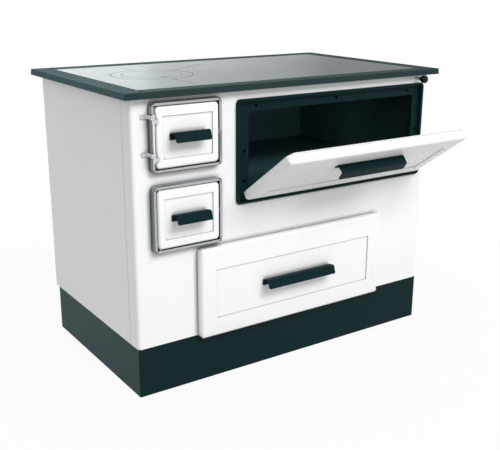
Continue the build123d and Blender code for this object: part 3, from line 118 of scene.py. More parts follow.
def remap(tree, value, from_range, to_range=(0.0, 1.0)):
    node = tree.nodes.new("ShaderNodeMapRange")
    node.inputs["From Min"].default_value = from_range[0]
    node.inputs["From Max"].default_value = from_range[1]
    node.inputs["To Min"].default_value = to_range[0]
    node.inputs["To Max"].default_value = to_range[1]
    tree.links.new(value, node.inputs["Value"])
    return node.outputs["Result"]


def calculate(tree, operation, first, second):
    """A Math node. Each input is a socket or a number."""
    node = tree.nodes.new("ShaderNodeMath")
    node.operation = operation
    for socket, value in zip(node.inputs, (first, second)):
        if isinstance(value, (int, float)):
            socket.default_value = value
        else:
            tree.links.new(value, socket)
    return node.outputs["Value"]


def multiply(tree, first, second):
    return calculate(tree, "MULTIPLY", first, second)


def weighted_sum(tree, first, first_weight, second, second_weight):
    return calculate(
        tree, "ADD", multiply(tree, first, first_weight), multiply(tree, second, second_weight)
    )


def mix_colour(tree, factor, first, second):
    """A colour between first and second. Each is a socket or three numbers."""
    node = tree.nodes.new("ShaderNodeMix")
    node.data_type = "RGBA"
    tree.links.new(factor, node.inputs[0])
    for socket, value in ((node.inputs[6], first), (node.inputs[7], second)):
        if isinstance(value, (tuple, list)):
            socket.default_value = (*value, 1.0)
        else:
            tree.links.new(value, socket)
    return node.outputs[2]


def mix_shader(tree, factor, first, second):
    node = tree.nodes.new("ShaderNodeMixShader")
    for socket, value in zip(node.inputs, (factor, first, second)):
        tree.links.new(value, socket)
    return node.outputs[0]


def white_light(tree, node_type, strength):
    """The output of a white Background or Emission node."""
    node = tree.nodes.new(node_type)
    node.inputs["Color"].default_value = (1.0, 1.0, 1.0, 1.0)
    node.inputs["Strength"].default_value = strength
    return node.outputs[0]


def soft_edges(tree, radius, turn=EDGE_TURN):
    """The normal with its sharp edges rounded off, and a mask that is 1 on those edges."""
    bevel = tree.nodes.new("ShaderNodeBevel")
    bevel.samples = 6
    bevel.inputs["Radius"].default_value = radius
    geometry = tree.nodes.new("ShaderNodeNewGeometry")
    dot = tree.nodes.new("ShaderNodeVectorMath")
    dot.operation = "DOT_PRODUCT"
    tree.links.new(bevel.outputs["Normal"], dot.inputs[0])
    tree.links.new(geometry.outputs["Normal"], dot.inputs[1])
    return bevel.outputs["Normal"], remap(tree, dot.outputs["Value"], turn)


def relief(tree, height, depth, normal):
    """A bump on the normal, from a height that runs from 0 to 1 over the depth in metres."""
    bump = tree.nodes.new("ShaderNodeBump")
    bump.inputs["Distance"].default_value = depth
    tree.links.new(height, bump.inputs["Height"])
    tree.links.new(normal, bump.inputs["Normal"])
    return bump.outputs["Normal"]


def in_corners(tree, reach, open_and_deep, amount, samples):
    """A mask that grows to amount where surfaces meet, as ambient occlusion falls from open to deep."""
    corner = tree.nodes.new("ShaderNodeAmbientOcclusion")
    corner.samples = samples
    corner.inputs["Distance"].default_value = reach
    return remap(tree, corner.outputs["AO"], open_and_deep, (0.0, amount))


# ---------------------------------------------------------------------------
# Finishes
# ---------------------------------------------------------------------------


class PaintedShade(NamedTuple):
    """Painted shade in the corners of a surface, where surfaces meet. Reach, open_and_deep and amount are those of
    in_corners.
    """

    reach: float
    open_and_deep: tuple
    amount: float
    colour: tuple
    no_shade_above: float | None = None  # the height above which there is none


SHADE_FADE = 0.02  # the height over which the painted shade thins out below the height where it stops


def finish_material(
    name,
    *,
    colour,
    mottle,
    mottle_scale,
    roughness,
    grain,
    depth,
    edge_radius,
    edge_colour=None,
    edge_amount=0.4,
    metallic=0.0,
    specular=0.5,
    painted_shade=None,
):
    """A surface with soft mottling, fine grain in its bump, worn round edges, and painted shade in its corners.

    The colour turns to mottle in patches. Roughness is a lowest and a highest value. Grain is the scale
    of the bump's noise and depth is the bump's height.
    """
    material, tree, shader = new_material(name)
    position = object_position(tree)
    broad = noise(tree, position, mottle_scale, detail=4.0, roughness=0.55)
    fine = noise(tree, position, grain, detail=3.0, roughness=0.6)
    base = mix_colour(tree, remap(tree, broad, NOISE_RANGE), colour, mottle)
    normal, edge = soft_edges(tree, edge_radius)
    if edge_colour is not None:
        patches = noise(tree, position, scale=55.0, detail=4.0, roughness=0.6)
        patchy_edge = multiply(tree, edge, remap(tree, patches, TIGHT_NOISE_RANGE, (0.2, 1.0)))
        base = mix_colour(tree, multiply(tree, patchy_edge, edge_amount), base, edge_colour)
    # Painted shade where surfaces meet, fading out below a given height.
    if painted_shade is not None:
        corner_shade = in_corners(tree, painted_shade.reach, painted_shade.open_and_deep, painted_shade.amount, samples=10)
        if painted_shade.no_shade_above is not None:
            fade = (painted_shade.no_shade_above - SHADE_FADE, painted_shade.no_shade_above)
            below = remap(tree, split_xyz(tree, position)["Z"], fade, (1.0, 0.0))
            corner_shade = multiply(tree, corner_shade, below)
        base = mix_colour(tree, corner_shade, base, painted_shade.colour)
    tree.links.new(base, shader.inputs["Base Color"])
    blotches = weighted_sum(tree, broad, 0.6, fine, 0.4)
    tree.links.new(remap(tree, blotches, TIGHT_NOISE_RANGE, roughness), shader.inputs["Roughness"])
    tree.links.new(relief(tree, fine, depth, normal), shader.inputs["Normal"])
    shader.inputs["Metallic"].default_value = metallic
    shader.inputs["Specular IOR Level"].default_value = specular
    return material


def white_finish(name, roughness, painted_shade, **worn_edges):
    """White enamel. Any worn edges are given as finish_material's edge_colour and edge_amount."""
    return finish_material(
        name, colour=(0.90, 0.905, 0.91), mottle=(0.88, 0.885, 0.89), mottle_scale=3.0,
        roughness=roughness, grain=130.0, depth=0.00001, specular=0.35, edge_radius=0.0012,
        painted_shade=painted_shade, **worn_edges,
    )


def steel_finish(name, colour, mottle, roughness, edge_colour=None):
    """Bare bright steel."""
    return finish_material(
        name, colour=colour, mottle=mottle, mottle_scale=14.0, roughness=roughness, grain=700.0,
        depth=0.00001, metallic=1.0, edge_radius=0.0004, edge_colour=edge_colour,
    )


def painted_light_on_top(material, colour):
    """Turns the faces that look up to this colour in patches: painted light on the tops."""
    tree = material.node_tree
    colour_input, plain = base_colour(material)
    patches = noise(tree, object_position(tree), scale=7.0, detail=4.0, roughness=0.6)
    patchy = remap(tree, patches, NOISE_RANGE, (0.75, 1.0))
    upper = multiply(tree, remap(tree, object_normal(tree)["Z"], UPWARD), patchy)
    tree.links.new(mix_colour(tree, upper, plain, colour), colour_input)


def zinc_material(name):
    """Hot-dip galvanised sheet: flat crystals of slightly different tone and gloss."""
    dark_crystal = (0.30, 0.32, 0.335)
    crystal_scale = 42.0
    raggedness = 0.010
    material = finish_material(
        name, colour=(0.50, 0.52, 0.53), mottle=(0.45, 0.47, 0.48), mottle_scale=9.0,
        roughness=(0.34, 0.46), grain=60.0, depth=0.00002, metallic=0.85,
        edge_radius=0.0008, edge_colour=(0.60, 0.61, 0.62),
    )
    tree = material.node_tree
    colour_input, plain = base_colour(material)
    position = object_position(tree)
    ragged = tree.nodes.new("ShaderNodeVectorMath")
    ragged.operation = "MULTIPLY_ADD"
    ripple = noise(tree, position, scale=90.0, detail=2.0, roughness=0.5, output="Color")
    tree.links.new(ripple, ragged.inputs[0])
    ragged.inputs[1].default_value = (raggedness, raggedness, raggedness)
    tree.links.new(position, ragged.inputs[2])
    crystals = tree.nodes.new("ShaderNodeTexVoronoi")
    crystals.inputs["Scale"].default_value = crystal_scale
    tree.links.new(ragged.outputs["Vector"], crystals.inputs["Vector"])
    tone = tree.nodes.new("ShaderNodeSeparateColor")
    tree.links.new(crystals.outputs["Color"], tone.inputs["Color"])
    darker = remap(tree, tone.outputs["Red"], (0.0, 1.0), (0.0, 0.42))
    tree.links.new(mix_colour(tree, darker, plain, dark_crystal), colour_input)
    gloss = remap(tree, tone.outputs["Green"], (0.0, 1.0), (0.30, 0.50))
    tree.links.new(gloss, tree.nodes["Principled BSDF"].inputs["Roughness"])
    return material


def oven_material(name, mouth_y, depth_y, flue_x):
    """Enamel painted darker towards the oven's mouth as painted shade, lighter in its depth, and sooted in the
    flue.

    The soot starts just inside flue_x, the outer face of the liner's right wall.
    """
    mouth_shade_colour = (0.010, 0.025, 0.027)
    soot_black = (0.008, 0.009, 0.009)
    soot_range = (flue_x - 0.0008, flue_x - 0.0004)
    material = finish_material(
        name, colour=(0.062, 0.148, 0.159), mottle=(0.068, 0.158, 0.169), mottle_scale=9.0,
        roughness=(0.40, 0.52), grain=300.0, depth=0.00004, specular=0.2,
        edge_radius=0.0015, edge_colour=(0.090, 0.170, 0.180), edge_amount=0.5,
    )
    tree = material.node_tree
    colour_input, clean = base_colour(material)
    position = split_xyz(tree, object_position(tree))
    # Painted shade, darkest at the oven's mouth.
    depth = calculate(tree, "POWER", remap(tree, position["Y"], (mouth_y, depth_y)), 2.0)
    mouth_shaded = mix_colour(tree, depth, mouth_shade_colour, clean)
    soot = remap(tree, position["X"], soot_range)
    tree.links.new(mix_colour(tree, soot, mouth_shaded, soot_black), colour_input)
    return material


def hob_material(name, ring_centre=None):
    """Ground steel with heat haze: turned rings round a centre, or else fine lines across the plate. Its edges are
    painted near black with a near-black specular tint, as painted shade in the gaps round the plate, ring and lid.
    """
    steel, hazed_steel = (0.176, 0.197, 0.203), (0.157, 0.177, 0.183)
    edge_dark = (0.010, 0.012, 0.013)
    edge_darkness = 0.97
    lid_darkness, lid_border = 0.12, (0.100, 0.112)
    material, tree, shader = new_material(name)
    broad = noise(tree, object_position(tree), scale=2.6, detail=3.0, roughness=0.5)
    normal, edge = soft_edges(tree, radius=0.0024)
    dark = multiply(tree, edge, edge_darkness)
    if ring_centre is None:
        across = object_position(tree, stretch=(0.02, 1.0, 1.0))
        lines = noise(tree, across, scale=900.0, detail=2.0, roughness=0.6)
    else:
        position = object_position(tree, centre=ring_centre)
        wave = tree.nodes.new("ShaderNodeTexWave")
        wave.wave_type = "RINGS"
        wave.rings_direction = "Z"
        wave.inputs["Scale"].default_value = 160.0
        wave.inputs["Distortion"].default_value = 0.6
        tree.links.new(position, wave.inputs["Vector"])
        lines = wave.outputs["Fac"]
        # The painted shade in the gap between the ring and its lid is fainter than in the one round the ring.
        radius = distance_from_origin(tree, position)
        dark = multiply(tree, dark, remap(tree, radius, lid_border, (lid_darkness, 1.0)))
    base = mix_colour(tree, remap(tree, broad, NOISE_RANGE), steel, hazed_steel)
    base = mix_colour(tree, dark, base, edge_dark)
    tint = mix_colour(tree, dark, (0.45, 0.47, 0.48), (0.02, 0.02, 0.02))
    blotches = weighted_sum(tree, broad, 0.5, lines, 0.5)
    tree.links.new(base, shader.inputs["Base Color"])
    tree.links.new(tint, shader.inputs["Specular Tint"])
    tree.links.new(remap(tree, blotches, NOISE_RANGE, (0.24, 0.30)), shader.inputs["Roughness"])
    tree.links.new(relief(tree, lines, 0.000006, normal), shader.inputs["Normal"])
    shader.inputs["Metallic"].default_value = 1.0
    return material


def chrome_material(name):
    """Polished on the faces that look forward and satin on the sides in its roughness, as a casting is finished.
    Its colour is painted light on the faces that look forward and up, painted shade on the sides and in the
    corners, and a painted highlight on the edges.
    """
    # Colours of painted shade on the sides, painted light on the tops and the front, and a painted highlight on
    # the edges.
    side, side_mottle = (0.145, 0.162, 0.168), (0.17, 0.19, 0.195)
    top = (0.34, 0.37, 0.38)
    polished = (0.46, 0.48, 0.49)
    edge_highlight = (0.92, 0.93, 0.94)
    corner_shade_colour = (0.020, 0.024, 0.026)
    material, tree, shader = new_material(name)
    position = object_position(tree)
    looks = object_normal(tree)
    front = remap(tree, looks["Y"], (-0.80, -0.97))
    broad = noise(tree, position, scale=24.0, detail=3.0, roughness=0.55)
    fine = noise(tree, position, scale=500.0, detail=3.0, roughness=0.6)
    normal, edge = soft_edges(tree, radius=0.0010, turn=(0.998, 0.94))
    # The colour follows the face's direction: painted shade on the sides, painted light on the tops and the front
    # faces, and a painted highlight on the edges.
    satin = mix_colour(tree, remap(tree, broad, NOISE_RANGE), side, side_mottle)
    satin = mix_colour(tree, remap(tree, looks["Z"], UPWARD), satin, top)
    base = mix_colour(tree, front, satin, polished)
    base = mix_colour(tree, multiply(tree, edge, 0.85), base, edge_highlight)
    # Painted shade where surfaces meet.
    corner_shade = in_corners(tree, reach=0.012, open_and_deep=(0.75, 0.25), amount=0.55, samples=8)
    base = mix_colour(tree, corner_shade, base, corner_shade_colour)
    gloss = remap(tree, front, (0.0, 1.0), (0.30, 0.12))
    haze = remap(tree, broad, NOISE_RANGE, (0.0, 0.06))
    tree.links.new(base, shader.inputs["Base Color"])
    tree.links.new(calculate(tree, "ADD", gloss, haze), shader.inputs["Roughness"])
    tree.links.new(relief(tree, fine, 0.000012, normal), shader.inputs["Normal"])
    shader.inputs["Metallic"].default_value = 1.0
    return material


# ---------------------------------------------------------------------------
# Materials
# ---------------------------------------------------------------------------

# Painted shade darkens the white enamel where surfaces meet, up to 0.797 m.
white_enamel = white_finish(
    "white_enamel", (0.28, 0.34),
    PaintedShade(0.020, (0.88, 0.45), 0.80, (0.26, 0.27, 0.28), no_shade_above=0.797),
    edge_colour=(0.74, 0.75, 0.76), edge_amount=0.35,
)
# Painted shade in the gaps round the door leaves and the drawer front, and less of it on the oven door.
round_enamel = white_finish(
    "round_enamel", (0.26, 0.32), PaintedShade(0.016, (0.85, 0.40), 0.85, (0.22, 0.24, 0.25))
)
door_enamel = white_finish(
    "door_enamel", (0.26, 0.32), PaintedShade(0.016, (0.85, 0.40), 0.35, (0.45, 0.46, 0.47))
)
anthracite_enamel = finish_material(
    "anthracite_enamel", colour=(0.0020, 0.0150, 0.0168), mottle=(0.0026, 0.0164, 0.0184),
    mottle_scale=6.0, roughness=(0.52, 0.62), grain=420.0, depth=0.00004, specular=0.1,
    edge_radius=0.0010, edge_colour=(0.020, 0.040, 0.044), edge_amount=0.5,
)
frame_enamel = finish_material(
    "frame_enamel", colour=(0.0220, 0.0400, 0.0415), mottle=(0.0240, 0.0420, 0.0440),
    mottle_scale=6.0, roughness=(0.70, 0.80), grain=420.0, depth=0.00004, specular=0.02,
    edge_radius=0.0014, edge_colour=(0.040, 0.066, 0.070), edge_amount=0.6,
)
# The top frame's upward faces are painted lighter, as painted light.
painted_light_on_top(frame_enamel, (0.0330, 0.0530, 0.0535))
# The oven's back wall has a lighter copy of the oven's enamel: painted light in the deep cavity.
oven_back_lit_enamel = finish_material(
    "oven_back_lit_enamel", colour=(0.080, 0.185, 0.195), mottle=(0.088, 0.198, 0.208),
    mottle_scale=9.0, roughness=(0.40, 0.50), grain=300.0, depth=0.00004, specular=0.25,
    edge_radius=0.0015,
)
polished_steel = steel_finish(
    "polished_steel", (0.92, 0.93, 0.94), (0.88, 0.89, 0.90), (0.08, 0.14)
)
hinge_steel = steel_finish(
    "hinge_steel", (0.70, 0.71, 0.72), (0.60, 0.61, 0.62), (0.12, 0.20), edge_colour=(0.86, 0.87, 0.88)
)
bright_steel = steel_finish(
    "bright_steel", (0.62, 0.63, 0.64), (0.54, 0.55, 0.56), (0.14, 0.28), edge_colour=(0.80, 0.80, 0.80)
)
dark_screw = finish_material(
    "dark_screw", colour=(0.0012, 0.0026, 0.0030), mottle=(0.0020, 0.0036, 0.0040),
    mottle_scale=60.0, roughness=(0.45, 0.55), grain=900.0, depth=0.00002, specular=0.008,
    edge_radius=0.0003, edge_colour=(0.010, 0.014, 0.015),
)
black_sheet = finish_material(
    "black_sheet", colour=(0.022, 0.022, 0.023), mottle=(0.045, 0.043, 0.041),
    mottle_scale=10.0, roughness=(0.55, 0.75), grain=260.0, depth=0.00008, specular=0.3,
    edge_radius=0.0008, edge_colour=(0.09, 0.08, 0.075),
)
cast_iron = finish_material(
    "cast_iron", colour=(0.038, 0.037, 0.037), mottle=(0.062, 0.056, 0.052),
    mottle_scale=22.0, roughness=(0.50, 0.72), grain=420.0, depth=0.00025, metallic=0.35,
    edge_radius=0.0012, edge_colour=(0.12, 0.11, 0.105),
)
firebrick = finish_material(
    "firebrick", colour=(0.55, 0.42, 0.29), mottle=(0.38, 0.28, 0.20),
    mottle_scale=18.0, roughness=(0.80, 0.95), grain=150.0, depth=0.0009, specular=0.2,
    edge_radius=0.003, edge_colour=(0.62, 0.52, 0.40),
)
insulation_board = finish_material(
    "insulation_board", colour=(0.62, 0.60, 0.54), mottle=(0.54, 0.51, 0.45),
    mottle_scale=12.0, roughness=(0.85, 0.97), grain=320.0, depth=0.0006, specular=0.15,
    edge_radius=0.002, edge_colour=(0.70, 0.68, 0.62),
)
seal_rope = finish_material(
    "seal_rope", colour=(0.74, 0.75, 0.75), mottle=(0.62, 0.63, 0.63),
    mottle_scale=90.0, roughness=(0.80, 0.95), grain=1500.0, depth=0.0003, specular=0.15,
    edge_radius=0.0005, edge_colour=(0.82, 0.82, 0.82),
)
knob_plastic = finish_material(
    "knob_plastic", colour=(0.0030, 0.0060, 0.0070), mottle=(0.0045, 0.0075, 0.0085),
    mottle_scale=40.0, roughness=(0.22, 0.32), grain=260.0, depth=0.00001, specular=0.18,
    edge_radius=0.0006,
)
zinc_sheet = zinc_material("zinc_sheet")
chromed_cast = chrome_material("chromed_cast")

liner_low, liner_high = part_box("oven_liner")
liner_middle_y = (liner_low[1] + liner_high[1]) / 2
liner_outer_x = 0.471
oven_enamel = oven_material("oven_enamel", liner_low[1], liner_middle_y, liner_outer_x)

ring_centre = [(low + high) / 2 for low, high in zip(*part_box("hob_ring"))]
hob_steel = hob_material("hob_steel")
turned_steel = hob_material("turned_steel", ring_centre)

by_slot = {
    "white_enamel": white_enamel,
    "anthracite_enamel": anthracite_enamel,
    "hob_steel": hob_steel,
    "chromed_cast": chromed_cast,
    "bright_steel": bright_steel,
    "dark_screw": dark_screw,
    "oven_enamel": oven_enamel,
    "zinc_sheet": zinc_sheet,
    "black_sheet": black_sheet,
    "cast_iron": cast_iron,
    "firebrick": firebrick,
    "insulation_board": insulation_board,
    "seal_rope": seal_rope,
    "knob_plastic": knob_plastic,
}


def dress(node, material):
    """Makes this the only material of a CAD node."""
    mesh = frame["nodes"][node].data
    mesh.materials.clear()
    mesh.materials.append(material)


for part in frame["record"]["subparts"]:
    dress(part["node"], by_slot[part["material_slot"]])
dress("top_frame", frame_enamel)
dress("oven_back", oven_back_lit_enamel)
dress("firebox_hinge_rod", polished_steel)
dress("firebox_hinge_brackets", hinge_steel)
dress("hob_ring", turned_steel)
dress("hob_lid", turned_steel)

# ---------------------------------------------------------------------------
# Mesh helpers
# ---------------------------------------------------------------------------

MERGE_DISTANCE = 1e-6
FORWARD = (0.0, -1.0, 0.0)
REARWARD = (0.0, 1.0, 0.0)
RIGHTWARD = (1.0, 0.0, 0.0)
UP = (0.0, 0.0, 1.0)


def cad_mesh(node):
    """A copy of a CAD node's mesh, with the vertices that lie on each other merged."""
    mesh = bmesh.new()
    mesh.from_mesh(frame["nodes"][node].data)
    bmesh.ops.remove_doubles(mesh, verts=mesh.verts, dist=MERGE_DISTANCE)
    return mesh


def box_of(points):
    """The lowest and the highest corner of the box round these points."""
    low = Vector([min(point[axis] for point in points) for axis in range(3)])
    high = Vector([max(point[axis] for point in points) for axis in range(3)])
    return low, high


def islands(node):
    """(lowest corner, highest corner) of each separate solid of a CAD node."""
    mesh = cad_mesh(node)
    left = set(mesh.verts)
    found = []
    while left:
        group = [left.pop()]
        for vertex in group:
            for edge in vertex.link_edges:
                other = edge.other_vert(vertex)
                if other in left:
                    left.discard(other)
                    group.append(other)
        found.append(box_of([vertex.co for vertex in group]))
    mesh.free()
    return sorted(found, key=lambda corners: tuple(corners[0]))


def add_object(name, mesh, material, body):
    """A mesh from bmesh as an object of one material that rides on a body."""
    data = bpy.data.meshes.new(name)
    mesh.to_mesh(data)
    mesh.free()
    data.materials.append(material)
    piece = bpy.data.objects.new(name, data)
    bpy.context.collection.objects.link(piece)
    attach(piece, body)
    return piece


def add_closed(name, mesh, material, body):
    """The same for a mesh made here, whose faces are first turned outward."""
    bmesh.ops.recalc_face_normals(mesh, faces=mesh.faces)
    return add_object(name, mesh, material, body)


def facing_place(point, direction, spin=0.0):
    """A place at point whose Z looks along direction, spun round that Z."""
    turn = Vector(UP).rotation_difference(Vector(direction)).to_matrix().to_4x4()
    return Matrix.Translation(Vector(point)) @ turn @ Matrix.Rotation(spin, 4, "Z")


def seated_points(node, direction):
    """The middle of the foot of each solid of a fastener node, which points along direction."""
    points = []
    for low, high in islands(node):
        middle = (low + high) / 2
        half = (high - low) / 2
        points.append(middle - Vector([half[axis] * direction[axis] for axis in range(3)]))
    return points


def step_angle(step, steps):
    return 2 * math.pi * step / steps


def angle_between(first, second):
    """The angle between two directions, the shorter way round."""
    return abs((first - second + math.pi) % (2 * math.pi) - math.pi)


def circle(mesh, radius, height, steps, place):
    """Vertices evenly spaced round Z. A radius of 0 gives one vertex."""
    if radius == 0.0:
        return [mesh.verts.new(place @ Vector((0.0, 0.0, height)))]
    row = []
    for step in range(steps):
        angle = step_angle(step, steps)
        point = Vector((radius * math.cos(angle), radius * math.sin(angle), height))
        row.append(mesh.verts.new(place @ point))
    return row


def join_rows(mesh, first, second, smooth=True):
    """Faces between two rows of vertices that run round. A row of one vertex closes the end."""
    steps = max(len(first), len(second))
    for step in range(steps):
        after = (step + 1) % steps
        corners = [
            first[step % len(first)],
            second[step % len(second)],
            second[after % len(second)],
            first[after % len(first)],
        ]
        mesh.faces.new(list(dict.fromkeys(corners))).smooth = smooth


def lathe(mesh, profile, steps, place):
    """Turns a profile of (radius, height) points round Z, closed where the radius is 0."""
    rows = [circle(mesh, radius, height, steps, place) for radius, height in profile]
    for lower, upper in zip(rows, rows[1:]):
        join_rows(mesh, lower, upper)


# ---------------------------------------------------------------------------
# Enamelled door leaves, oven door and drawer front: the CAD chamfer becomes a smooth round
# ---------------------------------------------------------------------------

CHAMFER_LEG = 0.005
OVEN_DOOR_LEG = 0.006
OVEN_DOOR_OPEN = 55.0  # degrees from shut at rest, as photographed
FLAT_ANGLE = math.radians(0.5)  # faces that meet at less than this are one face
SMOOTH_ANGLE = math.radians(30.0)  # edges sharper than this stay sharp
CHAMFER_COSINE = math.sqrt(0.5)
CHAMFER_COSINE_TOLERANCE = 0.02
CHAMFER_ANGLE_TOLERANCE = 0.06
BEVEL_SHARE = 0.97  # of half the chamfer's slant, so that the bevels on its two sides don't meet
BEVEL_SEGMENTS = 4

tilt = Matrix.Rotation(math.radians(OVEN_DOOR_OPEN), 4, "X")


def softened(node, name, body, outward, chamfer_leg, material):
    """A copy of a CAD panel. The chamfer round the face that looks along outward is rounded off."""
    mesh = cad_mesh(node)
    bmesh.ops.dissolve_limit(mesh, angle_limit=FLAT_ANGLE, verts=mesh.verts, edges=mesh.edges)
    mesh.normal_update()
    slanted = {
        face
        for face in mesh.faces
        if abs(face.normal.dot(outward) - CHAMFER_COSINE) < CHAMFER_COSINE_TOLERANCE
    }
    borders = []
    for edge in mesh.edges:
        if len(edge.link_faces) != 2 or len(slanted.intersection(edge.link_faces)) != 1:
            continue
        if abs(edge.calc_face_angle() - math.pi / 4) < CHAMFER_ANGLE_TOLERANCE:
            borders.append(edge)
    bmesh.ops.bevel(
        mesh, geom=borders, offset=chamfer_leg * math.sqrt(2) / 2 * BEVEL_SHARE, offset_type="OFFSET",
        segments=BEVEL_SEGMENTS, profile=0.5, affect="EDGES", clamp_overlap=True, loop_slide=False,
    )
    for face in mesh.faces:
        face.smooth = True
    for edge in mesh.edges:
        edge.smooth = len(edge.link_faces) == 2 and edge.calc_face_angle() < SMOOTH_ANGLE
    piece = add_object(name, mesh, material, body)
    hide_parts(node)
    return piece


forward_face = Vector(FORWARD)
oven_door_face = tilt.to_3x3() @ forward_face
firebox_leaf = softened(
    "firebox_door_leaf", "firebox_leaf_rounded", "firebox_door", forward_face, CHAMFER_LEG, round_enamel
)
softened("ash_door_leaf", "ash_leaf_rounded", "ash_door", forward_face, CHAMFER_LEG, round_enamel)
softened("drawer_front", "drawer_front_rounded", "wood_drawer", forward_face, CHAMFER_LEG, round_enamel)
softened(
    "oven_door_shell", "oven_door_rounded", "oven_door", oven_door_face, OVEN_DOOR_LEG, door_enamel
)

# The knuckles of the firebox door are bright, like its brackets. They stand out from the leaf's front
# and left faces, which lie where those of the ash door's leaf do.
face_tolerance = 0.0001
leaf_face_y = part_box("ash_door_leaf")[0][1]
leaf_left_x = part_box("ash_door_leaf")[0][0]
firebox_leaf.data.materials.append(hinge_steel)
for polygon in firebox_leaf.data.polygons:
    middle = polygon.center
    if middle.y < leaf_face_y - face_tolerance or middle.x < leaf_left_x - face_tolerance:
        polygon.material_index = 1

# ---------------------------------------------------------------------------
# Fasteners
# ---------------------------------------------------------------------------

HEAD_STEPS = 32
RECESS_ARM = 0.17  # half the width of the cross's arms, over the head's radius
RECESS_REACH = 0.62  # length of the arms, over the radius
RECESS_TAPER = 0.86  # the recess's floor, over its mouth
RECESS_DEPTH = 0.55  # over the head's height
PIT_DEPTH = 1.15  # the recess's middle, over its depth
CROWN_HEIGHT = 0.92  # the recess's mouth, over the head's height

# Profiles of (distance from the axis over the head's radius, height over the head's height)
DOME = ((0.80, 0.86), (0.93, 0.62), (1.0, 0.30), (1.0, 0.0))
HEX = ((0.0, 1.0), (0.80, 1.0), (0.96, 0.86), (0.96, 0.16))
HEX_FLANGE = ((0.0, 0.16), (0.90, 0.16), (1.0, 0.10), (1.0, 0.0), (0.0, 0.0))
HEX_STEPS = 6
HEX_FLANGE_STEPS = 24

WASHER_HEIGHT = 0.00025
WASHER_SLOPE = 0.0003
SCREW_SPIN = 0.7  # radians from one screw to the next


def cross_recess_head(mesh, radius, height, place):
    """A domed screw head with a cross-shaped recess. It stands on z = 0."""
    arm = RECESS_ARM * radius
    reach = RECESS_REACH * radius
    recess = RECESS_DEPTH * height
    outline = []
    for quarter in range(4):
        rotate = Matrix.Rotation(math.pi / 2 * quarter, 4, "Z")
        for x, y in ((reach, -arm), (reach, arm), (arm, arm)):
            outline.append(rotate @ Vector((x, y, 0.0)))
    count = len(outline)

    def add_vertex(point, rise):
        return mesh.verts.new(place @ (point + Vector((0.0, 0.0, rise))))

    crown_height = height * CROWN_HEIGHT
    crown = [add_vertex(point, crown_height) for point in outline]
    floor = [add_vertex(point * RECESS_TAPER, crown_height - recess) for point in outline]
    pit = add_vertex(Vector((0.0, 0.0, 0.0)), crown_height - recess * PIT_DEPTH)
    for index in range(count):
        after = (index + 1) % count
        mesh.faces.new((crown[index], crown[after], floor[after], floor[index]))
        mesh.faces.new((floor[index], floor[after], pit))

    # Triangles from the recess's mouth to the dome's first circle, each step to its nearest corner
    rows = [circle(mesh, share * radius, height * rise, HEAD_STEPS, place) for share, rise in DOME]
    ring = rows[0]
    angles = [math.atan2(point.y, point.x) % (2 * math.pi) for point in outline]
    order = sorted(range(count), key=lambda index: angles[index])
    nearest = []
    for step in range(HEAD_STEPS):
        angle = step_angle(step, HEAD_STEPS)
        gaps = [angle_between(angles[index], angle) for index in order]
        nearest.append(gaps.index(min(gaps)))
    for step in range(HEAD_STEPS):
        after = (step + 1) % HEAD_STEPS
        here, there = nearest[step], nearest[after]
        mesh.faces.new((ring[step], ring[after], crown[order[here]])).smooth = True
        while here != there:
            further = (here + 1) % count
            mesh.faces.new((crown[order[here]], ring[after], crown[order[further]])).smooth = True
            here = further

    for upper, lower in zip(rows, rows[1:]):
        join_rows(mesh, upper, lower)
    mesh.faces.new(list(reversed(rows[-1])))


def hex_head(mesh, radius, height, place):
    """A hexagon head with chamfered corners on a flat washer face."""
    rows = [circle(mesh, share * radius, height * rise, HEX_STEPS, place) for share, rise in HEX]
    for upper, lower in zip(rows, rows[1:]):
        join_rows(mesh, upper, lower, smooth=False)
    flange = [(share * radius, height * rise) for share, rise in HEX_FLANGE]
    lathe(mesh, flange, HEX_FLANGE_STEPS, place)


def cup_washer(mesh, radius, slope, steps, place):
    """A thin washer whose rim slopes down to z = 0."""
    profile = ((0.0, WASHER_HEIGHT), (radius - slope, WASHER_HEIGHT), (radius, 0.0), (0.0, 0.0))
    lathe(mesh, profile, steps, place)


def replace_screws(node, name, direction, head, radius, height, washer_radius=None):
    """Detailed heads for the screws of a CAD node, on cup washers where washer_radius is given."""
    mesh = bmesh.new()
    for index, point in enumerate(seated_points(node, direction)):
        head(mesh, radius, height, facing_place(point, direction, spin=SCREW_SPIN * index))
        if washer_radius is not None:
            cup_washer(mesh, washer_radius, WASHER_SLOPE, HEAD_STEPS, facing_place(point, direction))
    piece = add_closed(name, mesh, dark_screw, "body")
    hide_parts(node)


replace_screws(
    "top_frame_screws", "top_screw_heads", UP, cross_recess_head,
    radius=0.0036, height=0.0008, washer_radius=0.0056,
)
replace_screws(
    "oven_frame_screws", "oven_screw_heads", FORWARD, cross_recess_head,
    radius=0.0036, height=0.0022, washer_radius=0.0046,
)
collar_low, collar_high = islands("flue_collar_screws")[0]
collar_head_height = collar_high.x - collar_low.x
collar_head_radius = max(collar_high.y - collar_low.y, collar_high.z - collar_low.z) / 2
replace_screws(
    "flue_collar_screws", "flue_screw_heads", RIGHTWARD, hex_head,
    radius=collar_head_radius, height=collar_head_height,
)

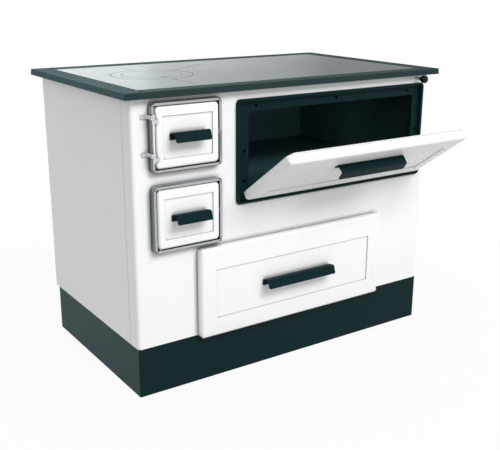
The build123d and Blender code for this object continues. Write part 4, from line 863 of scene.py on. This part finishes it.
# Screws and cup washers in the corners of the two chromed door frames
corner_inset = 0.0076
corner_screw_radius, corner_screw_height = 0.0027, 0.0012
cup_radius, cup_slope, cup_steps = 0.0040, 0.0002, 24
corner_spin = 80.0  # radians for each metre, so that no two screws are turned alike
washer_mesh = bmesh.new()
corner_mesh = bmesh.new()
for door_frame in ("firebox_door_frame", "ash_door_frame"):
    frame_low, frame_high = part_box(door_frame)
    for x in (frame_low[0] + corner_inset, frame_high[0] - corner_inset):
        for z in (frame_low[2] + corner_inset, frame_high[2] - corner_inset):
            place = facing_place((x, frame_low[1], z), FORWARD)
            cup_washer(washer_mesh, cup_radius, cup_slope, cup_steps, place)
            foot = (x, frame_low[1] - WASHER_HEIGHT, z)
            seat = facing_place(foot, FORWARD, spin=corner_spin * (x + z))
            cross_recess_head(corner_mesh, corner_screw_radius, corner_screw_height, seat)
corner_washers = add_closed("door_frame_corner_washers", washer_mesh, dark_screw, "body")
corner_screws = add_closed("door_frame_corner_screws", corner_mesh, bright_steel, "body")

# Screws round the edge of the back panel
back_low, back_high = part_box("back_panel")
back_rows, back_columns = 4, 5
back_inset = 0.012
back_screw_radius, back_screw_height = 0.0040, 0.0022
back_row_spin, back_column_spin = 1.3, 0.8
back_width = back_high[0] - back_low[0] - 2 * back_inset
back_height = back_high[2] - back_low[2] - 2 * back_inset
back_mesh = bmesh.new()
for row in range(back_rows):
    for column in range(back_columns):
        if 0 < row < back_rows - 1 and 0 < column < back_columns - 1:
            continue
        x = back_low[0] + back_inset + back_width * column / (back_columns - 1)
        z = back_low[2] + back_inset + back_height * row / (back_rows - 1)
        spin = back_row_spin * row + back_column_spin * column
        seat = facing_place((x, back_high[1], z), REARWARD, spin)
        cross_recess_head(back_mesh, back_screw_radius, back_screw_height, seat)
back_screws = add_closed("back_panel_screws", back_mesh, bright_steel, "body")

# The turned knob on the damper rod: a waisted neck, then a head with round edges and a shallow dome
knob_low, knob_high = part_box("damper_knob")
knob_foot = ((knob_low[0] + knob_high[0]) / 2, knob_high[1], (knob_low[2] + knob_high[2]) / 2)
knob_radius = (knob_high[0] - knob_low[0]) / 2
knob_length = knob_high[1] - knob_low[1]
knob_side_start, knob_side_end = 0.0130, knob_length - 0.0045
knob_round = 0.0030
knob_round_steps = 6
knob_steps = 48
knob_neck = [(0.0, 0.0), (0.0055, 0.0), (0.0052, 0.0030), (0.0054, 0.0080), (0.0064, 0.0096)]
knob_dome = [(knob_radius * 0.45, knob_length - 0.0006), (0.0, knob_length)]
knob_edges = []
quarter = [math.pi / 2 * step / knob_round_steps for step in range(knob_round_steps + 1)]
for angle in quarter:
    knob_edges.append((
        knob_radius - knob_round + knob_round * math.sin(angle),
        knob_side_start - knob_round * math.cos(angle),
    ))
for angle in quarter:
    knob_edges.append((
        knob_radius - knob_round + knob_round * math.cos(angle),
        knob_side_end + knob_round * math.sin(angle),
    ))
knob_mesh = bmesh.new()
lathe(knob_mesh, knob_neck + knob_edges + knob_dome, knob_steps, facing_place(knob_foot, FORWARD))
turned_knob = add_closed("damper_turned_knob", knob_mesh, knob_plastic, "damper")
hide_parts("damper_knob")

# ---------------------------------------------------------------------------
# Rope seals of the three doors: a twisted rope pressed into the section of the CAD seal
# ---------------------------------------------------------------------------

ROPE_CORNER = 0.010
ROPE_SPACING = 0.0016  # along the rope, from one row of vertices to the next
ROPE_TWIST = 0.011  # along the rope, for one full twist
ROPE_STEPS = 16
ROPE_STRANDS = 3
STRAND_RELIEF = 0.10  # over the rope's half width
SMALL_SEAL_WIDTH = 0.007
OVEN_SEAL_WIDTH = 0.006


def rounded_path(half_width, half_height, corner, spacing):
    """(x, y, outward angle) of even steps round a round-cornered rectangle, and the way's length."""
    straight_x = 2 * (half_width - corner)
    straight_y = 2 * (half_height - corner)
    arc = math.pi / 2 * corner
    total = 2 * straight_x + 2 * straight_y + 4 * arc
    count = int(total / spacing)
    points = []
    for index in range(count):
        distance = total * index / count
        for side in range(4):
            run = straight_y if side % 2 == 0 else straight_x
            reach = half_width if side % 2 == 0 else half_height
            if distance < run:
                along, out = distance - run / 2, reach
                angle = 0.0
            elif distance < run + arc:
                angle = (distance - run) / corner
                along = run / 2 + corner * math.sin(angle)
                out = reach - corner + corner * math.cos(angle)
            else:
                distance -= run + arc
                continue
            turn = math.pi / 2 * side
            x = out * math.cos(turn) - along * math.sin(turn)
            y = out * math.sin(turn) + along * math.cos(turn)
            points.append((x, y, turn + angle))
            break
    return points, total


def rope_seal(node, name, body, place, width):
    """A rope that fills the CAD seal. place is a matrix from the seal's own plane to the row frame."""
    inverse = place.inverted()
    low, high = box_of([inverse @ vertex.co for vertex in frame["nodes"][node].data.vertices])
    middle = (low + high) / 2
    half = (high - low) / 2
    path, length = rounded_path(half.x - width / 2, half.y - width / 2, ROPE_CORNER, ROPE_SPACING)
    twists = round(length / ROPE_TWIST)
    mesh = bmesh.new()
    rows = []
    for index, (x, y, angle) in enumerate(path):
        twist = 2 * math.pi * twists * index / len(path)
        row = []
        for step in range(ROPE_STEPS):
            turn = step_angle(step, ROPE_STEPS)
            strand = abs(math.cos(ROPE_STRANDS / 2 * turn - twist / 2))
            swell = 1.0 - STRAND_RELIEF + STRAND_RELIEF * strand
            out = width / 2 * swell * math.cos(turn)
            rise = half.z * swell * math.sin(turn)
            point = middle + Vector((x + out * math.cos(angle), y + out * math.sin(angle), rise))
            row.append(mesh.verts.new(place @ point))
        rows.append(row)
    for row, following in zip(rows, rows[1:] + rows[:1]):
        join_rows(mesh, row, following)
    piece = add_closed(name, mesh, seal_rope, body)
    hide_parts(node)


oven_hinge = next(joint for joint in frame["joints"] if joint["name"] == "oven_door_hinge")
upright = Matrix(((1, 0, 0, 0), (0, 0, -1, 0), (0, 1, 0, 0), (0, 0, 0, 1)))
tilted = Matrix.Translation(Vector(oven_hinge["pos_m"])) @ tilt @ upright
rope_seal("firebox_door_seal", "firebox_rope_seal", "firebox_door", upright, SMALL_SEAL_WIDTH)
rope_seal("ash_door_seal", "ash_rope_seal", "ash_door", upright, SMALL_SEAL_WIDTH)
rope_seal("oven_door_seal", "oven_rope_seal", "oven_door", tilted, OVEN_SEAL_WIDTH)

# ---------------------------------------------------------------------------
# Studio: a pale floor that runs to white, a white world and six soft lamps
# ---------------------------------------------------------------------------

FLOOR_SIZE = 30.0
FLOOR_GREY = 0.52
FLOOR_FADE = (0.7, 1.9)  # distances from the middle between which the floor runs to white
FLOOR_GLOW = (0.94, 1.0)  # share of white there
AMBIENT_STRENGTH = 0.68


def seen_directly(tree):
    """1 for camera, glossy and transmission rays, which see plain white."""
    path = tree.nodes.new("ShaderNodeLightPath")
    first = calculate(tree, "MAXIMUM", path.outputs["Is Camera Ray"], path.outputs["Is Glossy Ray"])
    return calculate(tree, "MAXIMUM", first, path.outputs["Is Transmission Ray"])


floor_material = bpy.data.materials.new("studio_floor")
floor_material.use_nodes = True
floor_tree = floor_material.node_tree
floor_tree.nodes.clear()
floor_output = floor_tree.nodes.new("ShaderNodeOutputMaterial")
floor_place = floor_tree.nodes.new("ShaderNodeTexCoord").outputs["Object"]
diffuse = floor_tree.nodes.new("ShaderNodeBsdfDiffuse")
diffuse.inputs["Color"].default_value = (FLOOR_GREY, FLOOR_GREY, FLOOR_GREY, 1.0)
glow = white_light(floor_tree, "ShaderNodeEmission", 1.0)
fading = remap(floor_tree, distance_from_origin(floor_tree, floor_place), FLOOR_FADE, FLOOR_GLOW)
floor_white = multiply(floor_tree, seen_directly(floor_tree), fading)
floor_look = mix_shader(floor_tree, floor_white, diffuse.outputs[0], glow)
floor_tree.links.new(floor_look, floor_output.inputs["Surface"])

floor_mesh = bmesh.new()
bmesh.ops.create_grid(floor_mesh, x_segments=8, y_segments=8, size=FLOOR_SIZE)
floor_data = bpy.data.meshes.new("studio_floor")
floor_mesh.to_mesh(floor_data)
floor_mesh.free()
floor_data.materials.append(floor_material)
studio_floor = bpy.data.objects.new("studio_floor", floor_data)
bpy.context.collection.objects.link(studio_floor)

world = bpy.data.worlds.new("studio")
bpy.context.scene.world = world
world.use_nodes = True
world_tree = world.node_tree
world_tree.nodes.clear()
world_output = world_tree.nodes.new("ShaderNodeOutputWorld")
ambient = white_light(world_tree, "ShaderNodeBackground", AMBIENT_STRENGTH)
backdrop = white_light(world_tree, "ShaderNodeBackground", 1.0)
world_look = mix_shader(world_tree, seen_directly(world_tree), ambient, backdrop)
world_tree.links.new(world_look, world_output.inputs["Surface"])


def area_lamp(name, place, target, size, power, only=()):
    """A soft box that looks at target. Where only is given, it lights just these CAD nodes."""
    light = bpy.data.lights.new(name, "AREA")
    light.shape = "RECTANGLE"
    light.size, light.size_y = size
    light.energy = power
    lamp = bpy.data.objects.new(name, light)
    lamp.location = place
    lamp.rotation_euler = (Vector(target) - Vector(place)).to_track_quat("-Z", "Y").to_euler()
    lamp.visible_camera = False
    bpy.context.collection.objects.link(lamp)
    if only:
        lit = bpy.data.collections.new(name + "_lit")
        for node in only:
            lit.objects.link(frame["nodes"][node])
        lamp.light_linking.receiver_collection = lit
    return lamp


front_lamp = area_lamp(
    "front_softbox", place=(0.5, -3.7, 3.85), target=(0.0, 0.0, 0.50), size=(2.8, 1.8), power=166.0
)
front_lamp.visible_glossy = False

# The hob mirrors a soft box behind the cooker that fades from its left to its right.
hob_fade_range = (0.0, 0.7)  # of the box's width
hob_fade_power = 0.65
hob_strengths = (1.0, 54.0)
hob_lamp = area_lamp(
    "hob_softbox", place=(0.9, 3.4, 1.75), target=(0.9, 0.0, 1.75), size=(4.4, 1.9), power=1.0,
    only=("hob_plate", "hob_ring", "hob_lid"),
)
hob_lamp.data.use_nodes = True
lamp_tree = hob_lamp.data.node_tree
lamp_position = lamp_tree.nodes.new("ShaderNodeNewGeometry").outputs["Parametric"]
across_lamp = remap(lamp_tree, split_xyz(lamp_tree, lamp_position)["X"], hob_fade_range)
hob_fade = calculate(lamp_tree, "POWER", across_lamp, hob_fade_power)
hob_strength = remap(lamp_tree, hob_fade, (0.0, 1.0), hob_strengths)
lamp_tree.links.new(hob_strength, lamp_tree.nodes["Emission"].inputs["Strength"])

area_lamp(
    "side_softbox", place=(-3.0, 1.8, 0.6), target=(-0.5, 0.0, 0.1), size=(1.6, 1.0), power=125.0,
    only=("plinth",),
)
area_lamp(
    "frame_side_softbox", place=(-3.0, 1.4, 0.9), target=(-0.5, 0.0, 0.8), size=(1.6, 1.0), power=55.0,
    only=("top_frame",),
)
area_lamp(
    "frame_softbox", place=(-0.80, 0.0, 1.45), target=(-0.55, 0.0, 0.85), size=(0.9, 0.3), power=8.5,
    only=("top_frame",),
)
area_lamp("rear_softbox", place=(0.1, 3.2, 1.75), target=(-0.3, 0.0, 0.85), size=(2.4, 1.6), power=11.0)

# ---------------------------------------------------------------------------
# Camera at the photograph's place
# ---------------------------------------------------------------------------

camera_place = (-1.4117, -2.1341, 1.1271)
yaw = math.radians(34.20)
pitch = math.radians(17.07)
roll = math.radians(0.26)
forward = Vector((math.sin(yaw) * math.cos(pitch), math.cos(yaw) * math.cos(pitch), -math.sin(pitch)))
right = Vector((math.cos(yaw), -math.sin(yaw), 0.0))
up = right.cross(forward)
rolled_right = math.cos(roll) * right + math.sin(roll) * up
rolled_up = math.cos(roll) * up - math.sin(roll) * right
camera_data = bpy.data.cameras.new("camera")
camera_data.lens = 58.33
camera_data.sensor_width = 36.0
camera_data.sensor_fit = "HORIZONTAL"
camera = bpy.data.objects.new("camera", camera_data)
camera_turn = Matrix((rolled_right, rolled_up, -forward)).transposed().to_4x4()
camera.matrix_world = Matrix.Translation(camera_place) @ camera_turn
bpy.context.collection.objects.link(camera)
bpy.context.scene.camera = camera

bpy.context.scene.view_settings.view_transform = "Standard"
